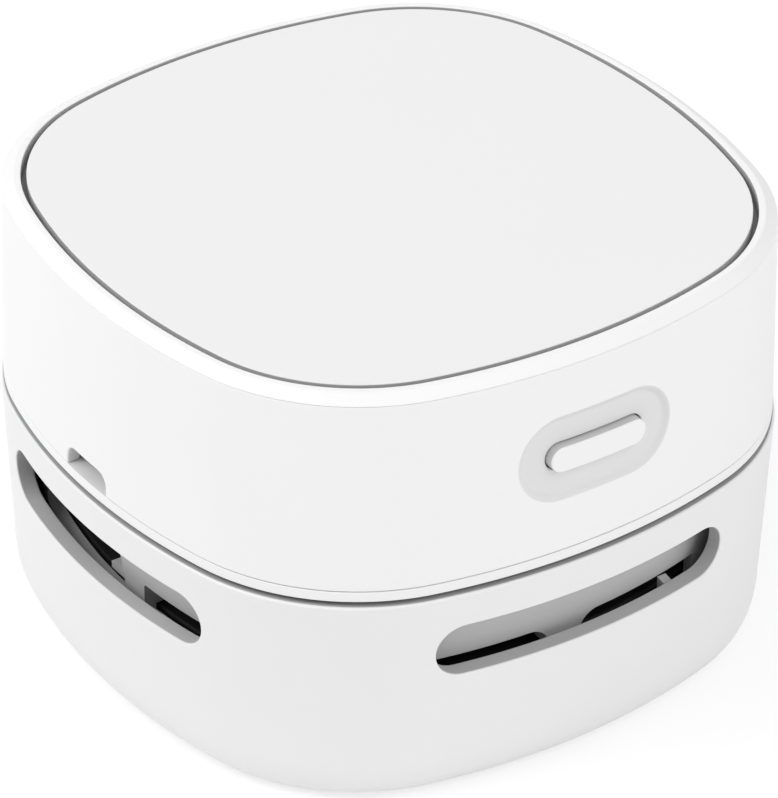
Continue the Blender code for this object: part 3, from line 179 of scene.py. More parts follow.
class HousingSizes(bpy.types.PropertyGroup):
    wall: length_prop("Wall", "Wall of the upper housing", 0.0018)
    lean: length_prop("Lean", "How far the walls lean in from seam to top", 0.00057)
    deck: length_prop("Deck", "Thickness of the deck under the top panel", 0.0016)
    deck_drop: length_prop("Deck Drop", "Depth of the deck under the top", 0.0021)
    notch_half: length_prop("Notch Half Width", "Half the charging notch's width", 0.0042)
    notch_height: length_prop("Notch Height", "Height of the notch above the rim", 0.0028)
    notch_corner: length_prop("Notch Corner", "Radius of the notch's corners", 0.0017)
    notch_edge: length_prop("Notch Edge", "Radius on the notch's edge", 0.0002)
    trim_flat: length_prop("Rim Width", "Width of the flat rim round the top", 0.0008)
    trim_chamfer: length_prop("Chamfer Width", "Width of the rim's chamfer", 0.00149)
    trim_edge: length_prop("Chamfer Height", "Height of the rim's chamfer", 0.0011)
    groove: length_prop("Groove", "Width of the groove round the panel", 0.0007)
    boss: length_prop("Boss Radius", "Radius of the case screws' bosses", 0.0030)
    pilot_spare: length_prop("Pilot Spare", "Pilot hole left past a screw's tip", 0.0015)


class ButtonSizes(bpy.types.PropertyGroup):
    half_x: length_prop("Half Length", "Half the button's length", 0.00666)
    half_z: length_prop("Half Height", "Half the button's height", 0.00163)
    gap: length_prop("Gap", "Gap round the button", 0.0002)
    edge: length_prop("Edge Radius", "Radius on the button's edge", 0.00016)
    proud: length_prop("Proud", "How far the button stands out of its dish", 0.00105)
    dish_half_z: length_prop("Dish Half Height", "Half the dish's height", 0.0057)
    dish_z: length_prop("Dish Height", "Height of the dish's centre", 0.04385)
    dish_depth: length_prop("Dish Depth", "Depth of the dish in the wall", 0.0006)
    dish_slope: length_prop("Dish Slope", "Width of the dish's soft rim", 0.0010)


class SkirtSizes(bpy.types.PropertyGroup):
    shadow_gap: length_prop("Shadow Gap", "Gap between lip and rim", 0.00065)
    inset: length_prop("Inset", "Inset of the skirt from the rim", 0.00436)
    wall: length_prop("Wall", "Wall of the skirt", 0.0016)
    spigot: length_prop("Spigot Depth", "How deep the spigot sits in the cup", 0.0028)
    spigot_gap: length_prop("Spigot Gap", "Gap round the spigot", 0.0003)
    plate: length_prop("Plate", "Thickness of the plate", 0.0018)
    sill: length_prop("Sill", "Height of the windows' sill", 0.0010)
    window_inner: length_prop("Window Inner End", "Where a window starts", 0.0030)
    window_outer: length_prop("Window Outer End", "Where a window ends", 0.0199)
    window_drop: length_prop("Window Drop", "Window's top under the slot", 0.00035)
    window_near: length_prop("Window Near End", "Where the right window starts", 0.0012)
    window_corner: length_prop("Window Corner", "Radius of a window's round corner", 0.0028)
    window_edge: length_prop("Window Edge", "Radius of a window's sharp corner", 0.0004)
    outlet_outer: length_prop("Outlet End", "Where the fan's outlet ends", 0.0212)
    outlet_rise: length_prop("Outlet Rise", "Outlet's top above the slot", 0.00085)
    outlet_corner: length_prop("Outlet Corner", "Radius of the outlet's corners", 0.0050)
    face_depth: length_prop("Face Depth", "Thickening of the skirt between windows", 0.0014)
    pillar_half: length_prop("Pillar Half Width", "Half a pillar's width", 0.0019)
    pillar_depth: length_prop("Pillar Depth", "Depth of a pillar", 0.0040)
    outlet_low: length_prop("Outlet Low End", "Outlet's bowed end at its sill", 0.00145)
    outlet_high: length_prop("Outlet High End", "Outlet's bowed end at its top", -0.0014)
    tab_length: length_prop("Tab Length", "Length of the tab in the outlet", 0.0030)
    tab_height: length_prop("Tab Height", "Height of the tab in the outlet", 0.0009)
    tab_drop: length_prop("Tab Drop", "Depth of the tab under the slot's sill", 0.0010)
    well: length_prop("Well Radius", "Inner radius of the motor's well", 0.0136)
    well_depth: length_prop("Well Depth", "Depth of the well under the plate's top", 0.0057)
    well_floor: length_prop("Well Floor", "Thickness of the well's floor", 0.0015)
    shaft_hole: length_prop("Shaft Hole", "Radius of the hole in the well's floor", 0.0033)
    standoff: length_prop("Standoff Radius", "Radius of the board's standoffs", 0.0014)
    standoff_end: length_prop("Standoff End Inset", "Standoffs' inset from the ends", 0.0040)
    standoff_inset: length_prop("Standoff Side Inset", "Standoffs' inset from the sides", 0.0026)
    post_place: length_prop("Post Place", "Place of the switch board's posts", 0.0080)
    post_half: length_prop("Post Half Width", "Half a post's width", 0.0015)
    post_depth: length_prop("Post Depth", "Depth of a post", 0.0028)
    outlet_bow: plain_prop("Outlet Bow", "How the outlet's end bends, 1 for straight", 1.6)
    tab_reach: length_prop("Tab Reach", "How far the tab reaches into the skirt's wall", 0.00128)
    pillar_shift: length_prop("Left Pillar Shift", "Shift of the left pillar", 0.0022)


class InletSizes(bpy.types.PropertyGroup):
    suction_half_x: length_prop("Suction Half Length", "Half the suction slot's length", 0.0170)
    suction_half_y: length_prop("Suction Half Width", "Half the suction slot's width", 0.0040)
    duct_wall: length_prop("Duct Wall", "Wall of the suction duct", 0.0012)
    flange: length_prop("Flange Margin", "How far the flange reaches past the plug", 0.0020)
    flange_thick: length_prop("Flange Thickness", "Thickness of the flange", 0.0015)
    corner: length_prop("Corner", "Radius of the insert's corners", 0.0012)
    backing: length_prop("Brush Backing", "Thickness of a brush's backing", 0.0012)
    bristle_columns: count_prop("Bristle Columns", "Bristles along a brush", 96)
    bristle_rows: count_prop("Bristle Rows", "Bristles across a brush", 5)
    bristle_radius: length_prop("Bristle Radius", "Radius of a bristle at its root", 0.00007)
    bristle_lean: angle_prop("Bristle Lean", "Most that a bristle leans", 7)
    foot_edge: length_prop("Foot Edge", "Radius on a foot pad's edge", 0.00035)
    foot_dish: length_prop("Foot Dish", "Depth of a foot pad's hollow", 0.0002)


class FilterSizes(bpy.types.PropertyGroup):
    ring: length_prop("Frame Width", "Width of the filter frame", 0.0032)
    thick: length_prop("Frame Height", "Height of the filter frame", 0.0016)
    bar_half: length_prop("Bar Half Width", "Half a cross bar's width", 0.0008)
    bar_thick: length_prop("Bar Thickness", "Thickness of the cross bars", 0.0008)
    grip_half_x: length_prop("Grip Half Length", "Half the grip's length", 0.0050)
    grip_half_y: length_prop("Grip Half Width", "Half the grip's width", 0.0011)
    cloth: length_prop("Cloth Thickness", "Thickness of the filter cloth", 0.0004)
    quilt: length_prop("Cloth Relief", "How far the cloth bows between the bars", 0.00012)
    lip: length_prop("Gasket Width", "Width of the gasket", 0.0012)


class FanSizes(bpy.types.PropertyGroup):
    eye: length_prop("Eye Radius", "Radius of the fan's inlet eye", 0.0115)
    blades: count_prop("Blades", "Number of the impeller's blades", 10)
    blade_inner: length_prop("Blade Start", "Radius where a blade starts", 0.0090)
    blade_thick: length_prop("Blade Thickness", "Thickness of a blade", 0.0010)
    sweep: angle_prop("Blade Sweep", "Angle that a blade sweeps back", 38)
    plate: length_prop("Plate Thickness", "Thickness of the impeller's plate", 0.0010)
    hub: length_prop("Hub Radius", "Radius of the impeller's hub", 0.0042)
    bore: length_prop("Bore Radius", "Radius of the impeller's bore", 0.0013)
    plate_top: length_prop("Plate Top", "Top of the impeller's plate", 0.02362)


class ScrewSizes(bpy.types.PropertyGroup):
    head_share: factor_prop("Head Width", "Head radius as a share of the shank's", 2.1)
    head: length_prop("Head Thickness", "Thickness of a screw's head", 0.0010)
    cover: length_prop("Cover Screw", "Shank radius of the cover's screws", 0.0008)
    case: length_prop("Case Screw", "Shank radius of the case's and motor's screws", 0.0010)
    board: length_prop("Board Screw", "Shank radius of the board's screws", 0.0007)
    threads: count_prop("Thread Turns", "Ridges along a screw's shank", 12)


class Finishes(bpy.types.PropertyGroup):
    shell: colour_prop("Shell", "Colour of the white mouldings", (0.90, 0.90, 0.90))
    panel: colour_prop("Panel", "Colour of the top panel", (0.84, 0.84, 0.84))
    cup: colour_prop("Cup", "Colour of the lower shell", (0.84, 0.84, 0.84))
    # Painted shade: grey for the inner faces, the slot reveals, the cup's lip top and the groove
    # round the panel, standing in for their shade
    inside: colour_prop("Inside", "Colour of the shadowed inner faces", (0.52, 0.52, 0.52))
    # Painted shade: near-black for the rim's underside and spigot deep in the shadow gap, and for
    # the wall of the button's hole
    gap: colour_prop("Gap", "Colour of the faces deep in the shadow gap", (0.16, 0.16, 0.16))
    # Painted shade: darker grey for the button's shallow dish and its hole's rounding, and for the
    # charging notch's reveals
    dish: colour_prop("Dish", "Colour of the button's matt dish", (0.75, 0.75, 0.75))
    rim: colour_prop("Rim", "Colour of the base plate's rim", (0.89, 0.89, 0.89))
    # Painted shade: the skirt's white darkened to stand for its shade behind the slots; the same
    # grey paints the shade on the button's sides
    skirt: colour_prop("Skirt", "Colour of the base plate's skirt", (0.60, 0.60, 0.60))
    # Black of the dark mouldings; also painted as shade on the skirt's inner faces and the plate's
    # underside
    dark: colour_prop("Dark Plastic", "Colour of the black mouldings", (0.014, 0.014, 0.016))
    grain: length_prop("Grain Size", "Size of the moulded surface's grain", 0.00022)


class Studio(bpy.types.PropertyGroup):
    world: plain_prop("World", "Strength of the light all round", 0.50)
    back: power_prop("Back Light", "Power of the high light behind", 5.0)
    side: power_prop("Side Light", "Power of the high light on the notch side", 15.6)
    low: power_prop("Low Light", "Power of the low light in front", 4.9)
    front: power_prop("Front Light", "Power of the high light in front", 9.0)
    lamp_size: length_prop("Lamp Size", "Width of each light", 1.2)
    floor: colour_prop("Floor", "Colour of the floor", (0.9, 0.9, 0.9))
    floor_glow: factor_prop("Floor Glow", "Share of the floor's white that is its own", 0.68)
    azimuth: angle_prop("Azimuth", "Camera's turn about the object", -34.886)
    elevation: angle_prop("Elevation", "Camera's height angle", 33.413)
    roll: angle_prop("Roll", "Camera's roll", 0.571)
    lens: plain_prop("Lens", "Focal length in millimetres", 233.76)
    place: place_prop("Camera Place", "Where the camera stands", (-0.299462, -0.430118, 0.372808))


class MiniVacuumSettings(bpy.types.PropertyGroup):
    body: PointerProperty(type=BodySizes)
    cup: PointerProperty(type=CupSizes)
    housing: PointerProperty(type=HousingSizes)
    button: PointerProperty(type=ButtonSizes)
    skirt: PointerProperty(type=SkirtSizes)
    inlet: PointerProperty(type=InletSizes)
    filter: PointerProperty(type=FilterSizes)
    fan: PointerProperty(type=FanSizes)
    screws: PointerProperty(type=ScrewSizes)
    finishes: PointerProperty(type=Finishes)
    studio: PointerProperty(type=Studio)


def settings():
    return bpy.context.scene.mini_vacuum


# Shapes

class Plan:
    """The body seen from above: bowed sides and round corners, grown or shrunk from the seam."""

    def __init__(self):
        body = settings().body
        self.side = body.side_radius
        self.corner = body.corner_radius
        self.shift = BODY_HALF - self.side
        reach = self.side - self.corner
        root = math.sqrt(4 * self.shift ** 2 - 8 * (self.shift ** 2 - reach ** 2))
        self.centre = (2 * self.shift + root) / 4
        self.joint = math.atan2(self.centre, self.centre - self.shift)
        self.corners = body.corner_columns
        count = round(body.side_end / body.column)
        self.places = [body.side_end * step / count for step in range(-count, count + 1)]
        self.period = len(self.places) + self.corners - 1

    def distance(self, half, across):
        """How far a side lies from the centre, at a place across it."""
        grow = half - BODY_HALF
        side = self.side + grow
        if abs(across) <= side * math.sin(self.joint):
            return self.shift + math.sqrt(side ** 2 - across ** 2)
        return self.centre + math.sqrt((self.corner + grow) ** 2 - (abs(across) - self.centre) ** 2)

    def wall(self, half):
        """How far a wall of half width half(z) lies from the centre, at any x and z."""
        return lambda x, z: self.distance(half(z), x)

    def ring(self, half, z):
        """Points round the body, counter-clockwise from the front's left end."""
        end = self.places[-1]
        radius = self.corner + half - BODY_HALF
        start = math.atan2(self.centre - self.distance(half, end), end - self.centre)
        points = []
        for side in SIDES:
            for across in self.places:
                points.append(quarter((across, -self.distance(half, across), z), side))
            for step in range(1, self.corners):
                angle = start - (QUARTER + 2 * start) * step / self.corners
                points.append(quarter((self.centre + radius * math.cos(angle),
                                       -self.centre + radius * math.sin(angle), z), side))
        return points

    def rings(self, profile):
        """A ring for each (half, z) of a profile."""
        return [self.ring(half, z) for half, z in profile]


def quarter(point, side):
    """A point of the front, turned to another side."""
    x, y, z = point
    for _ in range(SIDES.index(side)):
        x, y = -y, x
    return (x, y, z)


def spread(low, high, count):
    """Even steps from low to high, both included."""
    return [low + (high - low) * step / count for step in range(count + 1)]


def centre_of(node):
    """The middle of a node of the frame, seen from above."""
    low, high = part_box(node)
    return ((low.x + high.x) / 2, (low.y + high.y) / 2)


def quads(bm, rows, around=False, skip=None, finish=None):
    """Faces between rows of points of equal length.

    skip(row, column) names faces to leave out, finish(row) gives a row its material's place."""
    made = [[bm.verts.new(point) for point in row] for row in rows]
    for index, (low, high) in enumerate(zip(made, made[1:])):
        for column in range(len(low) if around else len(low) - 1):
            if skip is not None and skip(index, column):
                continue
            after = (column + 1) % len(low)
            face = bm.faces.new((low[column], low[after], high[after], high[column]))
            face.material_index = finish(index) if finish else 0


def flat_face(bm, *loops, look=0):
    """A level face between an outer loop of points and the holes in it."""
    edges = []
    for loop in loops:
        made = [bm.verts.new(point) for point in loop]
        edges += [bm.edges.new(pair) for pair in zip(made, made[1:] + made[:1])]
    filled = bmesh.ops.triangle_fill(bm, use_beauty=True, use_dissolve=False, edges=edges,
                                     normal=(0.0, 0.0, 1.0))
    for item in filled["geom"]:
        if isinstance(item, bmesh.types.BMFace):
            item.material_index = look


def capped(bm, loops, finish=None):
    """A solid of level loops, closed at both ends."""
    quads(bm, loops, around=True, finish=finish)
    flat_face(bm, loops[0])
    flat_face(bm, loops[-1])


def hoop(bm, loops, finish=None):
    """A solid of loops that ends where it starts."""
    quads(bm, loops + loops[:1], around=True, finish=finish)


def rounding(radius, steps):
    """How far the steps of a rounded edge stand back and sink, from its level end."""
    return [(radius * (1 - math.sin(angle)), radius * (1 - math.cos(angle)))
            for angle in spread(0.0, QUARTER, steps)]


def rounded_edge(half, z, radius, steps, outward, upward):
    """A profile's rounded corner at (half, z), from its level end to its upright end."""
    return [(half - outward * back, z - upward * down) for back, down in rounding(radius, steps)]


def circle(radius, z, segments, centre=(0.0, 0.0)):
    """Points of a level circle."""
    return [(centre[0] + radius * math.cos(angle), centre[1] + radius * math.sin(angle), z)
            for angle in spread(0.0, 2 * math.pi, segments)[:-1]]


def turned(bm, profile, segments, centre=(0.0, 0.0)):
    """A solid of revolution about an upright line: profile holds (radius, z)."""
    capped(bm, [circle(radius, z, segments, centre) for radius, z in profile])


def prism(bm, near, far):
    """A solid between two matching loops of points."""
    quads(bm, [near, far], around=True)
    for loop in (near, far):
        bm.faces.new([bm.verts.new(point) for point in loop])


def side_prism(bm, side, outline, depths):
    """A prism through a side, between two distances: outline holds (x, z)."""
    prism(bm, *[[quarter((x, y, z), side) for x, z in outline] for y in depths])


def rounded(half_x, half_y, radius, z, centre_y=0.0, steps=6):
    """Points of a level rectangle with round corners."""
    points = []
    for index, (x, y) in enumerate(((1, 1), (-1, 1), (-1, -1), (1, -1))):
        for step in range(steps + 1):
            angle = QUARTER * (index + step / steps)
            points.append((x * (half_x - radius) + radius * math.cos(angle),
                           centre_y + y * (half_y - radius) + radius * math.sin(angle), z))
    return points


def arch(left, right, bottom, top, left_corner, right_corner):
    """Points (x, z) of an opening with round upper corners."""
    points = [(left, bottom), (right, bottom)]
    for centre, corner, start in ((right - right_corner, right_corner, 0.0),
                                  (left + left_corner, left_corner, QUARTER)):
        for angle in spread(start, start + QUARTER, 10):
            points.append((centre + corner * math.cos(angle),
                           top - corner + corner * math.sin(angle)))
    return points


def border(places, heights):
    """The points (x, z) round a patch of a wall, counter-clockwise from its lower left corner."""
    points = [(x, heights[0]) for x in places]
    points += [(places[-1], z) for z in heights[1:]]
    points += [(x, heights[-1]) for x in reversed(places[:-1])]
    points += [(places[0], z) for z in reversed(heights[1:-1])]
    return points


def opening_loops(edge, core, steps, side):
    """Loops from the edge of a patch to an opening: steps hold (radius, share, distance).

    A loop lies at a radius from the core (half width, low z, high z), moved by a share of the way
    to the patch's edge, and distance(x, z) is how far it lies from the body's centre."""
    half, low, high = core
    loops = []
    for radius, share, distance in steps:
        loop = []
        for x, z in edge:
            near = Vector((max(-half, min(half, x)), max(low, min(high, z))))
            place = near + (Vector((x, z)) - near).normalized() * radius
            place = place.lerp(Vector((x, z)), share)
            loop.append(quarter((place.x, -distance(place.x, place.y), place.y), side))
        loops.append(loop)
    return loops


def sunk(wall, depth):
    """A wall's distance from the centre, less a depth."""
    return lambda x, z: wall(x, z) - depth


def level(distance):
    """A flat face at one distance from the centre."""
    return lambda x, z: distance


def rounded_steps(radius, edge, wall, steps, inwards=1):
    """Steps from a wall's face round the edge of an opening of some radius."""
    return [(radius + back, 0.0, sunk(wall, inwards * depth))
            for back, depth in rounding(edge, steps)]


def wall_steps(radius, edge, wall, steps, inwards=1):
    """Steps over a wall's face to an opening and round its edge, or back with inwards at -1."""
    found = [(radius + edge, share, wall) for share in BLENDS]
    found += rounded_steps(radius, edge, wall, steps, inwards)[1:]
    return found if inwards == 1 else found[::-1]


def lean_half(low_z, low_half, high_z, high_half):
    """Half width of a leaning wall at any height."""
    return lambda z: low_half + (high_half - low_half) * (z - low_z) / (high_z - low_z)


# Objects

def linked(name, data):
    """A new object in the scene."""
    made = bpy.data.objects.new(name, data)
    bpy.context.scene.collection.objects.link(made)
    return made


def tidied(name, bm):
    """A mesh from a bmesh, with its doubles merged and its faces pointing out."""
    bmesh.ops.remove_doubles(bm, verts=bm.verts, dist=MERGE)
    loose = [vert for vert in bm.verts if not vert.link_faces]
    bmesh.ops.delete(bm, geom=loose, context="VERTS")
    bmesh.ops.recalc_face_normals(bm, faces=bm.faces)
    mesh = bpy.data.meshes.new(name)
    bm.to_mesh(mesh)
    bm.free()
    return mesh


def made_object(name, bm, *looks, weighted=True):
    """An object from a bmesh, in the finishes of the given names."""
    mesh = tidied(name, bm)
    for look in looks:
        mesh.materials.append(finish(look))
    made = linked(name, mesh)
    mesh.shade_smooth()
    mesh.set_sharp_from_angle(angle=CREASE)
    if weighted:
        weigh_normals(made)
    return made


def weigh_normals(made):
    """Keep flats flat beside rounded edges."""
    step = made.modifiers.new("weighted_normals", "WEIGHTED_NORMAL")
    step.keep_sharp = True
    apply_modifiers(made)


def apply_modifiers(made):
    """Replace an object's mesh by what its modifiers make of it."""
    depsgraph = bpy.context.evaluated_depsgraph_get()
    mesh = bpy.data.meshes.new_from_object(made.evaluated_get(depsgraph), depsgraph=depsgraph)
    mesh.name = made.name
    made.modifiers.clear()
    made.data = mesh


def boolean(made, bm, operation, look=0):
    """Cut a bmesh's solids from an object, or join them to it; look is their material's place."""
    mesh = tidied("tool", bm)
    mesh.polygons.foreach_set("material_index", [look] * len(mesh.polygons))
    for _ in range(look + 1):
        mesh.materials.append(None)
    tool = linked("tool", mesh)
    step = made.modifiers.new("boolean", "BOOLEAN")
    step.operation = operation
    step.solver = "EXACT"
    step.use_self = True
    step.object = tool
    apply_modifiers(made)
    bpy.data.objects.remove(tool)


def carved(piece, *solids, look=0):
    """Join or cut solids, each (operation, bmesh), one after another, and smooth the result."""
    for operation, bm in solids:
        boolean(piece, bm, operation, look)
    piece.data.set_sharp_from_angle(angle=SHARP)
    weigh_normals(piece)
    return piece


def settle(piece, body, slot, *nodes):
    """Hand a finished piece to the frame."""
    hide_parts(*nodes)
    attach(piece, body)


# Node trees

def fill(tree, inputs, values):
    """Set a node's inputs, each to a value or to another node's output."""
    for key, value in values.items():
        if isinstance(value, bpy.types.NodeSocket):
            tree.links.new(value, inputs[key])
        else:
            inputs[key].default_value = value


def node_of(tree, kind, values=None, **settings_of):
    """A node with its settings and its inputs."""
    node = tree.nodes.new(kind)
    for key, value in settings_of.items():
        setattr(node, key, value)
    fill(tree, node.inputs, values or {})
    return node


def out(tree, kind, values=None, socket=0, **settings_of):
    """One output of a new node."""
    return node_of(tree, kind, values, **settings_of).outputs[socket]


def maths(tree, operation, first, second):
    """The result of a maths node."""
    return out(tree, "ShaderNodeMath", {0: first, 1: second}, operation=operation)


def scaled(tree, vector, scale):
    """A vector or colour times a number."""
    return out(tree, "ShaderNodeVectorMath", {0: vector, "Scale": scale}, operation="SCALE")


def new_tree(name, kind, inputs, outputs):
    """A new group with sockets (name, type, default or not), and its own two nodes' sockets."""
    tree = bpy.data.node_groups.new(name, kind)
    for direction, sockets in (("INPUT", inputs), ("OUTPUT", outputs)):
        for label, socket_type, *default in sockets:
            socket = tree.interface.new_socket(name=label, in_out=direction,
                                               socket_type=f"NodeSocket{socket_type}")
            if default:
                socket.default_value = default[0]
    source = tree.nodes.new("NodeGroupInput")
    return tree, source.outputs, tree.nodes.new("NodeGroupOutput").inputs


def geometry_tree(name, **sockets):
    """A new geometry tree with named inputs."""
    shape = ("Geometry", "Geometry")
    given = [(key.replace("_", " "), kind) for key, kind in sockets.items()]
    return new_tree(name, "GeometryNodeTree", (shape, *given), (shape,))


def finish_tree(tree, give, geometry, material):
    """End a tree with real geometry in its material."""
    real = out(tree, "GeometryNodeRealizeInstances", {"Geometry": geometry})
    dressed = out(tree, "GeometryNodeSetMaterial", {"Geometry": real, "Material": material})
    tree.links.new(dressed, give["Geometry"])
    return tree


def copies(tree, points, shape, **values):
    """Copies of a shape on points."""
    return out(tree, "GeometryNodeInstanceOnPoints",
               {"Points": points, "Instance": shape, **values})


def bristle_tree():
    """Bristles that hang from a grid of roots, each leaning a little at random."""
    tree, take, give = geometry_tree(
        "Bristles", Width="Float", Depth="Float", Place="Vector", Length="Float", Radius="Float",
        Columns="Int", Rows="Int", Lean="Float", Seed="Int", Material="Material")
    grid = out(tree, "GeometryNodeMeshGrid", {
        "Size X": take["Width"], "Size Y": take["Depth"], "Vertices X": take["Columns"],
        "Vertices Y": take["Rows"]})
    jitter = out(tree, "FunctionNodeRandomValue", {
        0: (-0.5, -0.5, 0.0), 1: (0.5, 0.5, 0.0), "Seed": take["Seed"]},
        data_type="FLOAT_VECTOR")
    moved = scaled(tree, jitter, maths(tree, "DIVIDE", take["Width"], take["Columns"]))
    place = out(tree, "ShaderNodeVectorMath", {0: moved, 1: take["Place"]}, operation="ADD")
    roots = out(tree, "GeometryNodeSetPosition", {"Geometry": grid, "Offset": place})
    tip = maths(tree, "MULTIPLY", take["Radius"], 0.6)
    strand = out(tree, "GeometryNodeMeshCone", {
        "Vertices": 5, "Radius Bottom": tip, "Radius Top": take["Radius"],
        "Depth": take["Length"]})
    down = out(tree, "ShaderNodeCombineXYZ", {"Z": maths(tree, "MULTIPLY", take["Length"], -1.0)})
    hung = out(tree, "GeometryNodeTransform", {"Geometry": strand, "Translation": down})
    least = maths(tree, "MULTIPLY", take["Lean"], -1.0)
    low, high = [out(tree, "ShaderNodeCombineXYZ", {"X": value, "Y": value})
                 for value in (least, take["Lean"])]
    lean = out(tree, "FunctionNodeRandomValue", {
        0: low, 1: high, "Seed": maths(tree, "ADD", take["Seed"], 7.0)}, data_type="FLOAT_VECTOR")
    turn = out(tree, "FunctionNodeEulerToRotation", {"Euler": lean})
    return finish_tree(tree, give, copies(tree, roots, hung, Rotation=turn), take["Material"])


def turned_copies_tree():
    """Copies of a shape, turned evenly about the upright axis."""
    tree, take, give = geometry_tree("Turned Copies", Shape="Object", Count="Int",
                                     Material="Material")
    line = out(tree, "GeometryNodeMeshLine", {"Count": take["Count"], "Offset": (0.0, 0.0, 0.0)})
    shape = out(tree, "GeometryNodeObjectInfo", {"Object": take["Shape"]}, "Geometry")
    step = maths(tree, "DIVIDE", 2 * math.pi, take["Count"])
    index = out(tree, "GeometryNodeInputIndex")
    angle = out(tree, "ShaderNodeCombineXYZ", {"Z": maths(tree, "MULTIPLY", index, step)})
    turn = out(tree, "FunctionNodeEulerToRotation", {"Euler": angle})
    return finish_tree(tree, give, copies(tree, line, shape, Rotation=turn), take["Material"])


def screw_tree():
    """A head and a shank on every point, sized and turned by the point's own attributes."""
    tree, take, give = geometry_tree("Screws", Head="Object", Shank="Object", Head_Share="Float",
                                     Head_Thickness="Float", Material="Material")
    radius, tall, angles = [
        out(tree, "GeometryNodeInputNamedAttribute", {"Name": name}, "Attribute", data_type=kind)
        for name, kind in (("radius", "FLOAT"), ("length", "FLOAT"), ("turn", "FLOAT_VECTOR"))]
    turn = out(tree, "FunctionNodeEulerToRotation", {"Euler": angles})
    both = node_of(tree, "GeometryNodeJoinGeometry")
    across = maths(tree, "MULTIPLY", radius, take["Head Share"])
    for part, wide, high in (("Head", across, take["Head Thickness"]), ("Shank", radius, tall)):
        shape = out(tree, "GeometryNodeObjectInfo", {"Object": take[part]}, "Geometry")
        size = out(tree, "ShaderNodeCombineXYZ", {"X": wide, "Y": wide, "Z": high})
        placed = copies(tree, take["Geometry"], shape, Rotation=turn, Scale=size)
        tree.links.new(placed, both.inputs[0])
    return finish_tree(tree, give, both.outputs["Geometry"], take["Material"])


def grown(name, tree, mesh, values):
    """A plain mesh made by a geometry tree on a mesh, with the tree's inputs set by name."""
    made = linked(name, mesh)
    step = made.modifiers.new("grown", "NODES")
    step.node_group = tree
    for item in tree.interface.items_tree:
        if item.item_type == "SOCKET" and item.in_out == "INPUT" and item.name in values:
            step[item.identifier] = values[item.name]
    apply_modifiers(made)
    made.data.shade_smooth()
    made.data.set_sharp_from_angle(angle=SHARP)
    return made


# Finishes

def shared(name):
    """Build a surface's node group once, and find it by its name after that."""
    def decorate(build):
        return lambda: bpy.data.node_groups.get(name) or build(name)
    return decorate


def surface_tree(name, *inputs, outputs=("Colour", "Roughness", "Height")):
    """A new group that turns a vector and its inputs into a surface."""
    given = [(label, "Color" if label == "Colour" else "Float") for label in outputs]
    return new_tree(name, "ShaderNodeTree", (("Vector", "Vector"), *inputs), given)


def noise(tree, vector, size, **values):
    """Noise whose features have a size."""
    scale = maths(tree, "DIVIDE", 1.0, size)
    return out(tree, "ShaderNodeTexNoise", {"Vector": vector, "Scale": scale, **values}, "Fac")


def centred(tree, value, width):
    """A value from 0 to 1, moved about 0 and stretched to a width."""
    return maths(tree, "MULTIPLY", maths(tree, "SUBTRACT", value, 0.5), width)


@shared("Moulded Surface")
def moulded_group(name):
    """A spark-eroded moulding: fine grain and faint flow marks."""
    tree, take, give = surface_tree(
        name, ("Colour", "Color", (0.8, 0.8, 0.8, 1.0)), ("Shade", "Float", 0.02),
        ("Roughness", "Float", 0.45), ("Roughness Spread", "Float", 0.06),
        ("Grain Size", "Float", 0.0002), ("Flow Size", "Float", 0.018))
    grain = noise(tree, take["Vector"], take["Grain Size"], Detail=2.0)
    flow = noise(tree, take["Vector"], take["Flow Size"], Detail=3.0)
    keep = maths(tree, "SUBTRACT", 1.0, maths(tree, "MULTIPLY", flow, take["Shade"]))
    both = maths(tree, "ADD", maths(tree, "MULTIPLY", flow, 0.6),
                 maths(tree, "MULTIPLY", grain, 0.4))
    offset = centred(tree, both, take["Roughness Spread"])
    fill(tree, give, {"Colour": scaled(tree, take["Colour"], keep), "Height": grain,
                      "Roughness": maths(tree, "ADD", take["Roughness"], offset)})
    return tree


@shared("Brushed Metal")
def brushed_group(name):
    """A drawn or turned metal: long fine streaks."""
    tree, take, give = surface_tree(
        name, ("Colour", "Color", (0.6, 0.6, 0.6, 1.0)), ("Roughness", "Float", 0.3),
        ("Stretch", "Vector", (1.0, 1.0, 1.0)), ("Streak Size", "Float", 0.0008))
    drawn = out(tree, "ShaderNodeVectorMath", {0: take["Vector"], 1: take["Stretch"]},
                operation="MULTIPLY")
    streaks = noise(tree, drawn, take["Streak Size"], Detail=4.0)
    shade = maths(tree, "ADD", maths(tree, "MULTIPLY", streaks, 0.3), 0.85)
    offset = centred(tree, streaks, 0.2)
    fill(tree, give, {"Colour": scaled(tree, take["Colour"], shade), "Height": streaks,
                      "Roughness": maths(tree, "ADD", take["Roughness"], offset)})
    return tree


@shared("Fibres")
def fibre_group(name):
    """A cloth of short crossing fibres."""
    tree, take, give = surface_tree(
        name, ("Colour", "Color", (0.8, 0.8, 0.8, 1.0)), ("Fibre Size", "Float", 0.0005),
        outputs=("Colour", "Height"))
    scale = maths(tree, "DIVIDE", 1.0, take["Fibre Size"])
    layers = []
    for stretch in ((1.0, 7.0, 1.0), (7.0, 1.0, 1.0), (3.0, -3.5, 1.0)):
        drawn = out(tree, "ShaderNodeVectorMath", {0: take["Vector"], 1: stretch},
                    operation="MULTIPLY")
        layers.append(out(tree, "ShaderNodeTexNoise", {
            "Vector": drawn, "Scale": scale, "Detail": 3.0, "Distortion": 0.6}, "Fac"))
    height = maths(tree, "MAXIMUM", maths(tree, "MAXIMUM", *layers[:2]), layers[2])
    # Brightness follows the fibres' height, so the hollows between them are darker: painted shade
    shade = maths(tree, "ADD", maths(tree, "MULTIPLY", height, 0.5), 0.68)
    fill(tree, give, {"Colour": scaled(tree, take["Colour"], shade), "Height": height})
    return tree


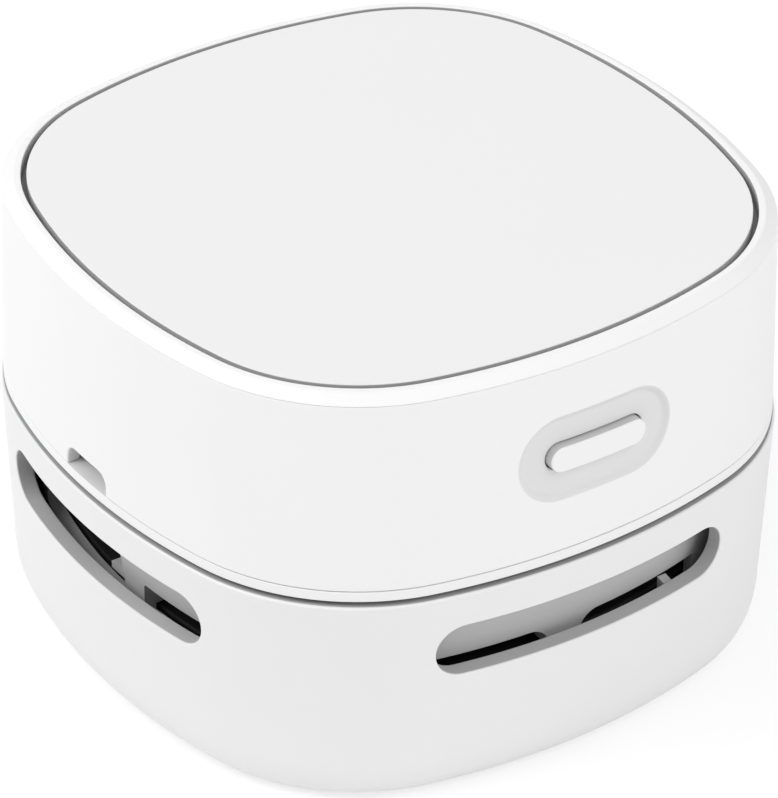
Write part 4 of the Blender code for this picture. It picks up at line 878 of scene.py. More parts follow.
@shared("Board Traces")
def traces_group(name):
    """A lacquered board over its copper traces."""
    tree, take, give = surface_tree(
        name, ("Colour", "Color", (0.04, 0.2, 0.09, 1.0)),
        ("Trace Colour", "Color", (0.08, 0.32, 0.14, 1.0)), ("Trace Spacing", "Float", 0.003))
    scale = maths(tree, "DIVIDE", 1.0, take["Trace Spacing"])
    cells = out(tree, "ShaderNodeTexVoronoi", {
        "Vector": take["Vector"], "Randomness": 0.8, "Scale": scale}, "Distance",
        distance="CHEBYCHEV")
    bands = maths(tree, "MULTIPLY", cells, 4.0)
    line = maths(tree, "LESS_THAN", maths(tree, "FRACT", bands, 0.0), 0.45)
    tint = out(tree, "ShaderNodeMix", {0: line, 6: take["Colour"], 7: take["Trace Colour"]}, 2,
               data_type="RGBA")
    rough = maths(tree, "SUBTRACT", 0.42, maths(tree, "MULTIPLY", line, 0.12))
    fill(tree, give, {"Colour": tint, "Roughness": rough, "Height": line})
    return tree


def surfaced(name, group, values, bump, depth, **shader_values):
    """A material on a surface group, on the object's own coordinates, or the one that is there."""
    made = bpy.data.materials.get(name)
    if made is not None:
        return made
    made = bpy.data.materials.new(name)
    made.use_nodes = True
    tree = made.node_tree
    shader = tree.nodes["Principled BSDF"].inputs
    fill(tree, shader, {key.replace("_", " "): value for key, value in shader_values.items()})
    place = out(tree, "ShaderNodeTexCoord", socket="Object")
    surface = node_of(tree, "ShaderNodeGroup", node_tree=group())
    fill(tree, surface.inputs, {"Vector": place, **values})
    relief = out(tree, "ShaderNodeBump", {"Strength": bump, "Distance": depth,
                                          "Height": surface.outputs["Height"]})
    fill(tree, shader, {"Base Color": surface.outputs["Colour"], "Normal": relief})
    if "Roughness" in surface.outputs:
        tree.links.new(surface.outputs["Roughness"], shader["Roughness"])
    return made


def moulded(name, colour, roughness, shade=0.02, bump=0.04, grain=None, specular=0.5):
    """A plastic or rubber; colour is one of the settings' finishes by name, or a colour."""
    finishes = settings().finishes
    colour = getattr(finishes, colour) if isinstance(colour, str) else colour
    values = {"Colour": (*colour, 1.0), "Shade": shade, "Roughness": roughness,
              "Grain Size": grain or finishes.grain}
    return surfaced(name, moulded_group, values, bump, GRAIN_DEPTH, Specular_IOR_Level=specular)


def metal(name, colour, roughness, stretch, streak=0.0008):
    """A drawn or turned metal, with streaks stretched along an axis."""
    values = {"Colour": (*colour, 1.0), "Roughness": roughness, "Stretch": stretch,
              "Streak Size": streak}
    return surfaced(name, brushed_group, values, 0.1, METAL_DEPTH, Metallic=1.0)


def felt(name):
    """A white needled felt: short fibres that cross, and small hollows between them."""
    values = {"Colour": (0.80, 0.80, 0.79, 1.0), "Fibre Size": 0.0005}
    return surfaced(name, fibre_group, values, 0.5, FELT_DEPTH, Roughness=0.95,
                    Sheen_Weight=0.3, Specular_IOR_Level=0.15)


def lacquer(name):
    """A green lacquered board whose copper shows through as raised lighter lines."""
    return surfaced(name, traces_group, {"Trace Spacing": 0.003}, 0.2, TRACE_DEPTH)


FINISHES = {
    "satin_white": (moulded, "shell", 0.42),
    "panel_satin": (moulded, "panel", 0.38, 0.01),
    "cup_satin": (moulded, "cup", 0.42),
    "rim_satin": (moulded, "rim", 0.45),
    # The next four are greys that paint shade: on inner faces and reveals, deep in the shadow gap,
    # in the dish and the notch's reveals, and on the skirt behind the slots
    "matt_inside": (moulded, "inside", 0.6, 0.03, 0.08),
    "matt_gap": (moulded, "gap", 0.7, 0.03, 0.08),
    "matt_dish": (moulded, "dish", 0.55, 0.02, 0.08),
    "skirt_matt": (moulded, "skirt", 0.6),
    # Black mouldings; the base plate's inside also wears this black as painted shade
    "black_moulding": (moulded, "dark", 0.65, 0.2, 0.12, None, 0.25),
    "soft_rubber": (moulded, (0.025, 0.025, 0.026), 0.75, 0.2, 0.3, 0.0004),
    "nylon_bristle": (moulded, (0.045, 0.045, 0.05), 0.35, 0.25, 0.05),
    "shrink_wrap": (moulded, (0.05, 0.16, 0.45), 0.28, 0.08, 0.05, 0.0012),
    "red_sleeve": (moulded, (0.60, 0.03, 0.03), 0.4, 0.1, 0.05),
    "black_sleeve": (moulded, (0.02, 0.02, 0.02), 0.4, 0.2, 0.05),
    "screw_steel": (metal, (0.62, 0.62, 0.64), 0.32, (1.0, 1.0, 8.0)),
    "drawn_steel": (metal, (0.60, 0.60, 0.62), 0.28, (1.0, 1.0, 0.08), 0.0004),
    "contact_brass": (metal, (0.75, 0.58, 0.28), 0.30, (1.0, 0.2, 1.0), 0.0003),
    "needled_felt": (felt,),
    "board_lacquer": (lacquer,),
}
NODE_FINISHES = (
    ("motor_can", "drawn_steel"), ("motor_shaft", "drawn_steel"), ("battery_tab", "drawn_steel"),
    ("charge_socket", "drawn_steel"), ("motor_terminal", "contact_brass"),
    ("motor_damper", "soft_rubber"), ("switch_plunger", "soft_rubber"),
    ("battery_cell", "shrink_wrap"), ("control_board", "board_lacquer"),
    ("switch_board", "board_lacquer"))


def finish(name):
    """The material of one of the finishes."""
    make, *values = FINISHES[name]
    return make(name, *values)


# Pieces

class MINIVACUUM_OT_dust_cup(bpy.types.Operator):
    """Make the lower shell with its four exhaust slots"""
    bl_idname = "mini_vacuum.dust_cup"
    bl_label = "Dust Cup"

    def execute(self, context):
        body, cup = settings().body, settings().cup
        plan = Plan()
        bm = bmesh.new()
        foot_half = CUP_HIGH.x - cup.lean
        knee = CUP_LOW.z + cup.foot_height
        half = lean_half(knee, foot_half, CUP_HIGH.z, CUP_HIGH.x)
        outer = [(foot_half - cup.foot_inset * (1 - math.sin(angle)),
                  CUP_LOW.z + cup.foot_height * (1 - math.cos(angle)))
                 for angle in spread(0.0, QUARTER, 12)]
        heights = spread(cup.patch_low, cup.patch_high, 14)
        outer += [(half(z), z) for z in spread(knee, cup.patch_low, 5)[1:-1]]
        first = len(outer)
        outer += [(half(z), z) for z in heights]
        last = len(outer) - 1
        outer += rounded_edge(CUP_HIGH.x, CUP_HIGH.z, cup.lip_edge, body.edge_steps, 1, 1)[::-1]
        inner = rounded_edge(CUP_HIGH.x - cup.wall, CUP_HIGH.z, body.edge, body.edge_steps, -1, 1)
        inner_first = len(outer) + len(inner)
        inner_last = inner_first + len(heights) - 1
        inner += [(half(z) - cup.wall, z) for z in reversed(heights)]
        inner.append((foot_half - cup.wall, knee))
        floor_top = CUP_LOW.z + cup.floor
        inner += [(foot_half - cup.wall - cup.foot_inset * (1 - math.cos(angle)),
                   knee - (knee - floor_top) * math.sin(angle))
                  for angle in spread(0.0, QUARTER, 8)[1:]]
        rows = outer + inner

        def in_slot(row, column):
            beside = column % plan.period < len(plan.places) - 1
            return beside and (first <= row < last or inner_first <= row < inner_last)

        # Faces from the lip's top inwards take the inside grey: painted shade
        quads(bm, plan.rings(rows), around=True, skip=in_slot,
              finish=lambda row: int(row >= len(outer) - 1))
        for side in SIDES:
            self.slot(bm, plan, half, heights, side)
        self.floor(bm, plan, rows[0], rows[-1])
        piece = made_object("dust_cup_shell", bm, "cup_satin", "matt_inside", weighted=False)
        # The ribs take the inside grey too: painted shade
        carved(piece, ("UNION", self.ribs(plan, foot_half, half)), look=1)
        settle(piece, "dust_cup", "shell_white", "dust_shell")
        return {"FINISHED"}

    def slot(self, bm, plan, half, heights, side):
        """One exhaust slot, with its edges rounded on both faces of the wall."""
        cup, steps = settings().cup, settings().body.edge_steps
        radius = cup.slot_height / 2
        middle = cup.slot_bottom + radius
        outside = wall_steps(radius, cup.slot_edge, plan.wall(half), steps)
        inside = wall_steps(radius, cup.slot_edge, plan.wall(lambda z: half(z) - cup.wall), steps,
                            -1)
        loops = opening_loops(border(plan.places, heights),
                              (cup.slot_half - radius, middle, middle), outside + inside, side)
        # The slot's reveal and inner faces take the inside grey: painted shade
        quads(bm, loops, around=True, finish=lambda row: int(row >= len(outside) - 1))

    def ribs(self, plan, foot_half, half):
        """Ribs inside: ledges for the filter and, at the front and back, guides for the skirt."""
        cup = settings().cup
        floor = CUP_LOW.z + cup.floor - SINK
        seat = FILTER_LOW.z - FIT
        knee = CUP_LOW.z + cup.foot_height
        guide_top = cup.slot_bottom - FIT
        inner_mid = foot_half - cup.wall
        bm = bmesh.new()
        for side in SIDES:
            for across in (-cup.rib_offset, cup.rib_offset):
                ledge = plan.distance(FILTER_HIGH.x, across) - cup.rib_ledge
                wall_mid = plan.distance(inner_mid, across) + 2 * SINK
                wall_low = plan.distance(inner_mid - cup.foot_inset, across) + 2 * SINK
                profile = [(ledge, floor), (ledge, seat)]
                if across > 0 and side in ("front", "back"):
                    guide = plan.distance(BODY_HALF - settings().skirt.inset + FIT, across)
                    wall_top = plan.distance(half(guide_top) - cup.wall, across) + SINK
                    profile += [(guide, seat), (guide, guide_top), (wall_top, guide_top - SINK)]
                else:
                    profile.append((wall_mid, seat))
                profile += [(wall_mid, knee), (wall_low, floor)]
                faces = (across - cup.rib_wall / 2, across + cup.rib_wall / 2)
                prism(bm, *[[quarter((x, -distance, z), side) for distance, z in profile]
                            for x in faces])
        return bm

    def floor(self, bm, plan, low, high):
        """The floor's two faces, with the hole for the inlet and the pockets for the feet."""
        foot_low, foot_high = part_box("foot_1")
        radius = (foot_high.x - foot_low.x) / 2 + FIT
        place = (foot_high.x + foot_low.x) / 2
        pocket = foot_high.z + FIT
        inlets = [rounded(*INLET_HOLE, INLET_CORNER, z) for z in (low[1], high[1])]
        quads(bm, inlets, around=True)
        pockets = [[circle(radius, z, FOOT, (x * place, y * place)) for z in (low[1], pocket)]
                   for x, y in ((-1, -1), (1, -1), (1, 1), (-1, 1))]
        for loops in pockets:
            quads(bm, loops, around=True)
            flat_face(bm, loops[1])
        flat_face(bm, plan.ring(*low), inlets[0], *[loops[0] for loops in pockets])
        flat_face(bm, plan.ring(*high), inlets[1])


class MINIVACUUM_OT_base_plate(bpy.types.Operator):
    """Make the base plate: the rim over the shadow gap and the skirt with its windows"""
    bl_idname = "mini_vacuum.base_plate"
    bl_label = "Base Plate"

    def execute(self, context):
        body, skirt = settings().body, settings().skirt
        steps = body.edge_steps
        rim_low = CUP_HIGH.z + skirt.shadow_gap
        rim_high = SEAM_Z - body.seam / 2
        spigot = CUP_HIGH.x - settings().cup.wall - skirt.spigot_gap
        spigot_low = rim_low - skirt.spigot
        outer = BODY_HALF - skirt.inset
        inner = outer - skirt.wall
        under = rim_high - skirt.plate
        profile = rounded_edge(BODY_HALF, rim_high, body.edge, steps, 1, 1)
        profile += rounded_edge(BODY_HALF, rim_low, body.edge, steps, 1, -1)[::-1]
        rim = len(profile) - 1
        profile += [(spigot, rim_low), (spigot, spigot_low), (outer, spigot_low)]
        profile += rounded_edge(outer, PLATE_LOW.z, body.edge, steps, 1, -1)[::-1]
        wall = len(profile)
        profile += rounded_edge(inner, PLATE_LOW.z, body.edge, steps, -1, -1)
        profile.append((inner, under))
        rows = Plan().rings(profile)
        bm = bmesh.new()
        # The rim's underside and spigot take the near-black gap colour, the skirt its darkened grey
        # and the inner faces black: all painted shade
        quads(bm, rows, around=True,
              finish=lambda row: (row >= rim) + (row > rim + 1) + (row >= wall))
        flat_face(bm, rows[0])
        # The plate's underside is black: painted shade in the fan chamber
        flat_face(bm, rows[-1], look=3)
        piece = made_object("base_plate_skirt", bm, "rim_satin", "matt_gap", "skirt_matt",
                            "black_moulding", weighted=False)
        # Pillars, mounts and the windows' cut faces take the skirt's darkened grey: painted shade
        carved(piece,
               ("UNION", self.pillars(skirt.window_inner, inner, skirt.face_depth, under)),
               ("UNION", self.pillars(skirt.pillar_half, inner, skirt.pillar_depth, under)),
               ("UNION", self.mounts(under, rim_high)), ("DIFFERENCE", self.holes(under, rim_high)),
               ("DIFFERENCE", self.windows(inner)), ("DIFFERENCE", self.outlet_end(inner)),
               ("UNION", self.tab(inner)), look=2)
        settle(piece, "motor_unit", "skirt_grey", "base_plate")
        return {"FINISHED"}

    def shift(self, side):
        """How far a side's pillar stands from the side's middle."""
        return settings().skirt.pillar_shift if side == "left" else 0.0

    def outlet_top(self):
        """Height of the fan's outlet."""
        cup = settings().cup
        return cup.slot_bottom + cup.slot_height + settings().skirt.outlet_rise

    def pillars(self, half, inner, depth, under):
        """The pillars inside the skirt, one on each side."""
        bm = bmesh.new()
        near, far = -inner - SINK, -inner + depth
        for side in SIDES:
            left, right = self.shift(side) - half, self.shift(side) + half
            corners = ((left, near), (right, near), (right, far), (left, far))
            prism(bm, *[[quarter((x, y, z), side) for x, y in corners]
                        for z in (COVER_HIGH.z + FIT, under + SINK)])
        return bm

    def mounts(self, under, top):
        """The motor's well, the control board's standoffs and the switch board's posts."""
        skirt = settings().skirt
        bm = bmesh.new()
        turned(bm, [(skirt.well + skirt.wall, top - skirt.well_depth),
                    (skirt.well + skirt.wall, under + SINK)], WIDE)
        low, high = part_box("control_board")
        across = high.y - skirt.standoff_inset
        for x in (low.x + skirt.standoff_end, high.x - skirt.standoff_end):
            for y in (-across, across):
                turned(bm, [(skirt.standoff, top - SINK), (skirt.standoff, low.z - FIT)],
                       HOLE, (x, y))
        low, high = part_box("switch_board")
        near, far = high.y + FIT, high.y + FIT + skirt.post_depth
        for x in (-skirt.post_place, skirt.post_place):
            left, right = x - skirt.post_half, x + skirt.post_half
            corners = ((left, near), (right, near), (right, far), (left, far))
            prism(bm, *[[(*corner, z) for corner in corners] for z in (top - SINK, high.z - FIT)])
        return bm

    def holes(self, under, top):
        """Room for the motor in its well, and the holes of the case and cover screws."""
        skirt, screws = settings().skirt, settings().screws
        floor = top - skirt.well_depth
        bm = bmesh.new()
        turned(bm, [(skirt.shaft_hole, floor - FIT), (skirt.shaft_hole, floor + skirt.well_floor),
                    (skirt.well, floor + skirt.well_floor), (skirt.well, top + FIT)], WIDE)
        for index in range(1, 5):
            turned(bm, [(screws.case + FIT, z) for z in (under - FIT, top + FIT)], HOLE,
                   centre_of(f"case_screw_{index}"))
        for index in range(1, 5):
            screw = f"fan_cover_screw_{index}"
            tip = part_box(screw)[1].z
            turned(bm, [(screws.cover + FIT, z) for z in (PLATE_LOW.z, tip + FIT)], HOLE,
                   centre_of(screw))
        return bm

    def windows(self, inner):
        """The windows in the skirt, and the fan's outlet on the left."""
        skirt = settings().skirt
        bm = bmesh.new()
        sill = PLATE_LOW.z + skirt.sill
        slot = settings().cup.slot_bottom
        top = slot - skirt.window_drop
        wide, small, outlet = skirt.window_corner, skirt.window_edge, skirt.outlet_corner
        depths = (-BODY_HALF, -inner + skirt.pillar_depth - SINK)
        for side in SIDES:
            middle = self.shift(side)
            arches = [(skirt.window_near, skirt.window_outer, sill, top, wide, small),
                      (-skirt.window_outer, -skirt.window_inner, sill, top, small, wide)]
            if side == "left":
                arches = [(middle + skirt.window_inner, skirt.window_outer, sill, slot, small,
                           wide),
                          (-skirt.outlet_outer, middle - skirt.window_inner, sill,
                           self.outlet_top(), outlet, outlet)]
            for opening in arches:
                side_prism(bm, side, arch(*opening), depths)
        return bm

    def outlet_end(self, inner):
        """The bowed end of the outlet on the left, cut through the skirt alone."""
        skirt = settings().skirt
        sill = PLATE_LOW.z + skirt.sill
        top = self.outlet_top()
        start = self.shift("left") - skirt.window_inner - SINK
        outline = [(start, top - skirt.outlet_corner), (start, sill), (skirt.outlet_low, sill)]
        for share in spread(0.0, 1.0, 12)[1:]:
            lean = (skirt.outlet_low - skirt.outlet_high) * share ** skirt.outlet_bow
            outline.append((skirt.outlet_low - lean,
                            sill + (top - skirt.outlet_corner / 2 - sill) * share))
        bm = bmesh.new()
        side_prism(bm, "left", outline, (-BODY_HALF, -inner + skirt.face_depth + SINK))
        return bm

    def tab(self, inner):
        """The small tab that stands in the outlet beside the pillar."""
        skirt = settings().skirt
        right = self.shift("left") - skirt.pillar_half + SINK
        left = right - skirt.tab_length
        top = settings().cup.slot_bottom - skirt.tab_drop
        low = top - skirt.tab_height
        bm = bmesh.new()
        side_prism(bm, "left", ((left, low), (right, low), (right, top), (left, top)),
                   (-inner - skirt.tab_reach, -inner + skirt.face_depth))
        return bm


class MINIVACUUM_OT_upper_housing(bpy.types.Operator):
    """Make the upper housing with the button's dish and the charging notch"""
    bl_idname = "mini_vacuum.upper_housing"
    bl_label = "Upper Housing"

    def execute(self, context):
        body, sizes, button = settings().body, settings().housing, settings().button
        plan = Plan()
        bm = bmesh.new()
        low = SEAM_Z + body.seam / 2
        high = TOP - sizes.trim_edge - body.rim_seam
        half = lean_half(SEAM_Z, BODY_HALF, SHELL_HIGH.z, BODY_HALF - sizes.lean)
        dish = (button.dish_z - DISH_PATCH[1], button.dish_z + DISH_PATCH[1])
        fillet = rounded_edge(half(low), low, body.edge, body.edge_steps, 1, -1)
        heights = [z for _, z in fillet]
        heights += spread(heights[-1], dish[0], 7)[1:]
        notch_rows = len(heights) - 1
        heights += spread(*dish, 15)[1:]
        dish_rows = (notch_rows, len(heights) - 1)
        heights += spread(dish[1], high - body.edge, 4)[1:]

        def outer_half(z):
            """Half width outside, with the lower edge's rounding."""
            down = max(0.0, low + body.edge - z)
            return half(z) - body.edge + math.sqrt(max(0.0, body.edge ** 2 - down ** 2))

        def inner_half(z):
            return half(z) - sizes.wall

        outer = [(outer_half(z), z) for z in heights]
        outer += rounded_edge(half(high), high, body.edge, body.edge_steps, 1, 1)[::-1][1:]
        deck_top = TOP - sizes.deck_drop
        deck_low = deck_top - sizes.deck
        step = half(high) - RIM_STEP
        outer += [(step, high), (step, deck_top)]
        inner = [(inner_half(z), z) for z in heights if z <= dish[1] + MERGE]

        def cut_out(row, column):
            side = SIDES[column // plan.period]
            place = column % plan.period
            if place >= len(plan.places) - 1:
                return False
            x = abs(plan.places[place] + plan.places[place + 1]) / 2
            if side == "front":
                return dish_rows[0] <= row < dish_rows[1] and x < DISH_PATCH[0]
            return side == "left" and row < notch_rows and x < NOTCH_PATCH

        # Inner faces take the inside grey: painted shade
        inside = {"around": True, "finish": lambda row: 1}
        quads(bm, plan.rings(outer), around=True, skip=cut_out)
        flat_face(bm, plan.ring(*outer[-1]), look=1)
        quads(bm, plan.rings(inner), skip=cut_out, **inside)
        deck = plan.ring(inner_half(deck_low), deck_low)
        flat_face(bm, deck)
        quads(bm, [plan.ring(*inner[-1]), deck], **inside)
        quads(bm, plan.rings([(outer_half(low), low), (inner_half(low), low)]), around=True,
              skip=lambda row, column: cut_out(0, column)
              and SIDES[column // plan.period] == "left")
        walls = (plan.wall(outer_half), plan.wall(inner_half))
        self.dish(bm, plan, walls, heights[dish_rows[0]:dish_rows[1] + 1])
        self.notch(bm, plan, walls, heights[:notch_rows + 1])
        piece = made_object("upper_housing", bm, "satin_white", "matt_inside", "matt_dish",
                            "matt_gap", weighted=False)
        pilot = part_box("case_screw_1")[1].z + sizes.pilot_spare
        # The bosses take the inside grey: painted shade
        carved(piece, ("UNION", self.bosses(sizes.boss, low, deck_low + SINK)),
               ("DIFFERENCE", self.bosses(settings().screws.case + FIT, low - SINK, pilot)),
               look=1)
        settle(piece, "motor_unit", "shell_white", "upper_shell")
        return {"FINISHED"}

    def bosses(self, radius, low, high):
        """Upright pins in line with the case screws."""
        bm = bmesh.new()
        for index in range(1, 5):
            turned(bm, [(radius, low), (radius, high)], PIN, centre_of(f"case_screw_{index}"))
        return bm

    def dish(self, bm, plan, walls, heights):
        """The dish, the button's hole and the collar behind it."""
        button, body = settings().button, settings().body
        wall, inside = walls
        hole = button.half_z + button.gap
        rim, slope = button.dish_half_z, button.dish_slope
        places = [x for x in plan.places if abs(x) < DISH_PATCH[0] + MERGE]
        found = [(rim, share, wall) for share in DISH_BLENDS]
        outer_rows = len(found) - 1
        for share in [step / 10 for step in range(1, 11)]:
            depth = button.dish_depth * share * share * (3 - 2 * share)
            found.append((rim - slope * share, 0.0, sunk(wall, depth)))
        floor = sunk(wall, button.dish_depth)
        found += [(radius, 0.0, floor) for radius in spread(rim - slope, hole + body.edge, 5)[1:]]
        found += rounded_steps(hole, body.edge, floor, body.edge_steps)[1:]
        hole_wall = len(found)
        end = level(BODY_HALF - settings().housing.wall - COLLAR_DEPTH - FIT)
        collar = hole + COLLAR_WIDTH
        found += [(hole, 0.0, end), (collar, 0.0, end)]
        found += [(collar, share, inside) for share in (0.0, 0.3, 0.6, 1.0)]
        core = (button.half_x - button.half_z, BUTTON_Z, BUTTON_Z)
        # The dish and its hole's rounding take the darker dish grey, the hole's wall and collar the
        # near-black gap colour: painted shade
        quads(bm, opening_loops(border(places, heights), core, found, "front"), around=True,
              finish=lambda row: 0 if row < outer_rows else 2 if row < hole_wall else 3)

    def notch(self, bm, plan, walls, heights):
        """The charging notch, open at the lower edge."""
        sizes, steps = settings().housing, settings().body.edge_steps
        places = [x for x in plan.places if abs(x) < NOTCH_PATCH + MERGE]
        edge = [(places[0], z) for z in heights]
        edge += [(x, heights[-1]) for x in places[1:]]
        edge += [(places[-1], z) for z in reversed(heights[:-1])]
        radius = sizes.notch_corner
        core = (sizes.notch_half - radius, -1.0, SEAM_Z + sizes.notch_height - radius)
        found = wall_steps(radius, sizes.notch_edge, walls[0], steps)
        found += wall_steps(radius, sizes.notch_edge, walls[1], steps, -1)
        loops = opening_loops(edge, core, found, "left")
        # The notch's reveal and inner faces take the dish grey: painted shade
        quads(bm, loops, finish=lambda row: 2 * (row >= len(found) // 2 - 1))
        for end in (0, -1):
            bm.faces.new([bm.verts.new(loop[end]) for loop in loops])


class MINIVACUUM_OT_top(bpy.types.Operator):
    """Make the rim and the panel in the top"""
    bl_idname = "mini_vacuum.top"
    bl_label = "Rim and Panel"

    def execute(self, context):
        body, sizes = settings().body, settings().housing
        plan = Plan()
        edge = TOP - sizes.trim_edge
        outer = BODY_HALF - sizes.lean
        flat = outer - sizes.trim_chamfer
        groove = flat - sizes.trim_flat
        floor = TOP - sizes.deck_drop + body.seam
        spigot = outer - RIM_STEP - body.seam
        round_of = body.edge
        slope = Vector((flat - outer, TOP - edge)).normalized() * round_of
        # Both edges of the chamfer, rounded by shares of the edge radius
        profile = [(outer - round_of, edge), (outer - round_of * 0.3, edge + round_of * 0.2),
                   (outer - round_of * 0.2, edge + round_of * 0.7),
                   (outer + slope.x * 1.6, edge + slope.y * 1.6), (flat - slope.x, TOP - slope.y),
                   (flat - slope.x * 0.45, TOP - slope.y * 0.3),
                   (flat - round_of * 0.35, TOP - round_of * 0.04), (flat - round_of, TOP)]
        profile += rounded_edge(groove, TOP, round_of, body.edge_steps, -1, 1)
        wall = len(profile) - 1
        profile += [(groove, floor), (spigot, floor), (spigot, edge)]
        bm = bmesh.new()
        # The groove's wall, floor and spigot take the inside grey: painted shade
        hoop(bm, plan.rings(profile), lambda row: int(row >= wall))
        trim = made_object("top_rim", bm, "satin_white", "matt_inside")
        settle(trim, "motor_unit", "shell_white", "top_trim")

        panel = groove - sizes.groove
        profile = [(panel, floor)]
        profile += rounded_edge(panel, TOP, round_of, body.edge_steps, 1, 1)[::-1]
        bm = bmesh.new()
        # The panel's side in the groove takes the inside grey: painted shade
        capped(bm, plan.rings(profile), lambda row: int(row == 0))
        piece = made_object("top_panel_plate", bm, "panel_satin", "matt_inside")
        settle(piece, "motor_unit", "panel_white", "top_panel")
        return {"FINISHED"}


class MINIVACUUM_OT_button(bpy.types.Operator):
    """Make the power button"""
    bl_idname = "mini_vacuum.button"
    bl_label = "Power Button"

    def execute(self, context):
        button = settings().button
        half = lean_half(SEAM_Z, BODY_HALF, SHELL_HIGH.z, BODY_HALF - settings().housing.lean)
        face = sunk(Plan().wall(half), button.dish_depth - button.proud)
        radius = button.half_z
        found = [(radius * share, 0.0, face) for share in (0.0, 0.4, 0.7)]
        found += [(radius - back, 0.0, sunk(face, down))
                  for back, down in rounding(button.edge, 6)]
        cap = len(found) - 1
        flange = -BUTTON_LOW.y - FLANGE_BACK
        back = level(flange - FLANGE_THICK)
        found += [(radius, 0.0, level(flange)), (radius + FLANGE_WIDTH, 0.0, level(flange)),
                  (radius + FLANGE_WIDTH, 0.0, back), (0.0, 0.0, back)]
        places = spread(-BUTTON_PATCH[0], BUTTON_PATCH[0], 24)
        heights = spread(BUTTON_Z - BUTTON_PATCH[1], BUTTON_Z + BUTTON_PATCH[1], 10)
        core = (button.half_x - radius, BUTTON_Z, BUTTON_Z)
        bm = bmesh.new()
        # The button's sides and flange take the skirt's darkened grey: painted shade on the sides
        quads(bm, opening_loops(border(places, heights), core, found, "front"), around=True,
              finish=lambda row: int(row >= cap))
        piece = made_object("power_button_cap", bm, "satin_white", "skirt_matt")
        settle(piece, "power_button", "shell_white", "power_button")
        return {"FINISHED"}


class MINIVACUUM_OT_inlet(bpy.types.Operator):
    """Make the insert in the floor: the suction slot, its duct and the brush channels"""
    bl_idname = "mini_vacuum.inlet"
    bl_label = "Suction Inlet"

    def execute(self, context):
        sizes = settings().inlet
        edge = settings().body.edge
        low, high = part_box("inlet_frame")
        flange = (high.x, high.y)
        plug = (high.x - sizes.flange, high.y - sizes.flange)
        hole = (sizes.suction_half_x, sizes.suction_half_y)
        duct = (hole[0] + sizes.duct_wall, hole[1] + sizes.duct_wall)
        seat = CUP_LOW.z + settings().cup.floor + FIT
        flange_top = seat + sizes.flange_thick
        lead = 4 * edge
        rows = [(hole, lead, low.z), (plug, -edge, low.z), (plug, 0, low.z + edge),
                (plug, 0, seat), (flange, -edge, seat), (flange, 0, seat + edge),
                (flange, 0, flange_top - edge), (flange, -edge, flange_top),
                (duct, 0, flange_top), (duct, 0, high.z - edge), (duct, -edge, high.z),
                (hole, edge, high.z), (hole, 0, high.z - edge), (hole, 0, low.z + lead)]
        bm = bmesh.new()
        hoop(bm, [rounded(half_x + grow, half_y + grow, sizes.corner, z)
                  for (half_x, half_y), grow, z in rows])
        piece = made_object("suction_inlet", bm, "black_moulding", weighted=False)
        carved(piece, ("DIFFERENCE", self.channels(low.z, seat + FIT)))
        settle(piece, "dust_cup", "dark_plastic", "inlet_frame")
        return {"FINISHED"}

    def channels(self, low, top):
        """The two channels that hold the brushes."""
        bm = bmesh.new()
        for name in BRUSHES:
            start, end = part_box(name)
            half_y = (end.y - start.y) / 2 + FIT
            prism(bm, *[rounded(end.x + FIT, half_y, FIT, z, centre_of(name)[1], 3)
                        for z in (low - SINK, top)])
        return bm


class MINIVACUUM_OT_brushes(bpy.types.Operator):
    """Make the two brushes: a backing strip and its bristles each"""
    bl_idname = "mini_vacuum.brushes"
    bl_label = "Brushes"

    def execute(self, context):
        sizes = settings().inlet
        edge = 2 * settings().body.edge
        tree = bristle_tree()
        for seed, name in enumerate(BRUSHES):
            low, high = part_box(name)
            centre = centre_of(name)[1]
            half_y = (high.y - low.y) / 2
            root = high.z - sizes.backing
            rows = [(half_y - edge, root), (half_y, root + edge), (half_y, high.z - edge),
                    (half_y - edge, high.z)]
            bm = bmesh.new()
            capped(bm, [rounded(high.x - half_y + half, half, 2 * edge, z, centre, 4)
                        for half, z in rows])
            backing = made_object(f"{name}_backing", bm, "black_moulding")
            settle(backing, "dust_cup", "bristle", name)
            made = grown(f"{name}_bristles", tree, bpy.data.meshes.new(f"{name}_bristles"), {
                "Width": 2 * (high.x - half_y), "Depth": half_y,
                "Place": (0.0, centre, root + SINK), "Length": root + SINK - low.z,
                "Radius": sizes.bristle_radius, "Columns": sizes.bristle_columns,
                "Rows": sizes.bristle_rows, "Lean": sizes.bristle_lean, "Seed": seed,
                "Material": finish("nylon_bristle")})
            settle(made, "dust_cup", "bristle", name)
        return {"FINISHED"}


class MINIVACUUM_OT_feet(bpy.types.Operator):
    """Make the four rubber feet"""
    bl_idname = "mini_vacuum.feet"
    bl_label = "Feet"

    def execute(self, context):
        sizes = settings().inlet
        edge = sizes.foot_edge
        for index in range(1, 5):
            name = f"foot_{index}"
            low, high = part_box(name)
            radius = (high.x - low.x) / 2
            hollow = radius - 3 * edge
            profile = [(radius, high.z)] + rounded_edge(radius, low.z, edge, 5, 1, -1)[::-1]
            profile += [(hollow, low.z), (hollow - edge, low.z + sizes.foot_dish),
                        (edge, low.z + sizes.foot_dish)]
            bm = bmesh.new()
            turned(bm, profile, FOOT, centre_of(name))
            piece = made_object(f"{name}_pad", bm, "soft_rubber")
            settle(piece, "dust_cup", "rubber", name)
        return {"FINISHED"}


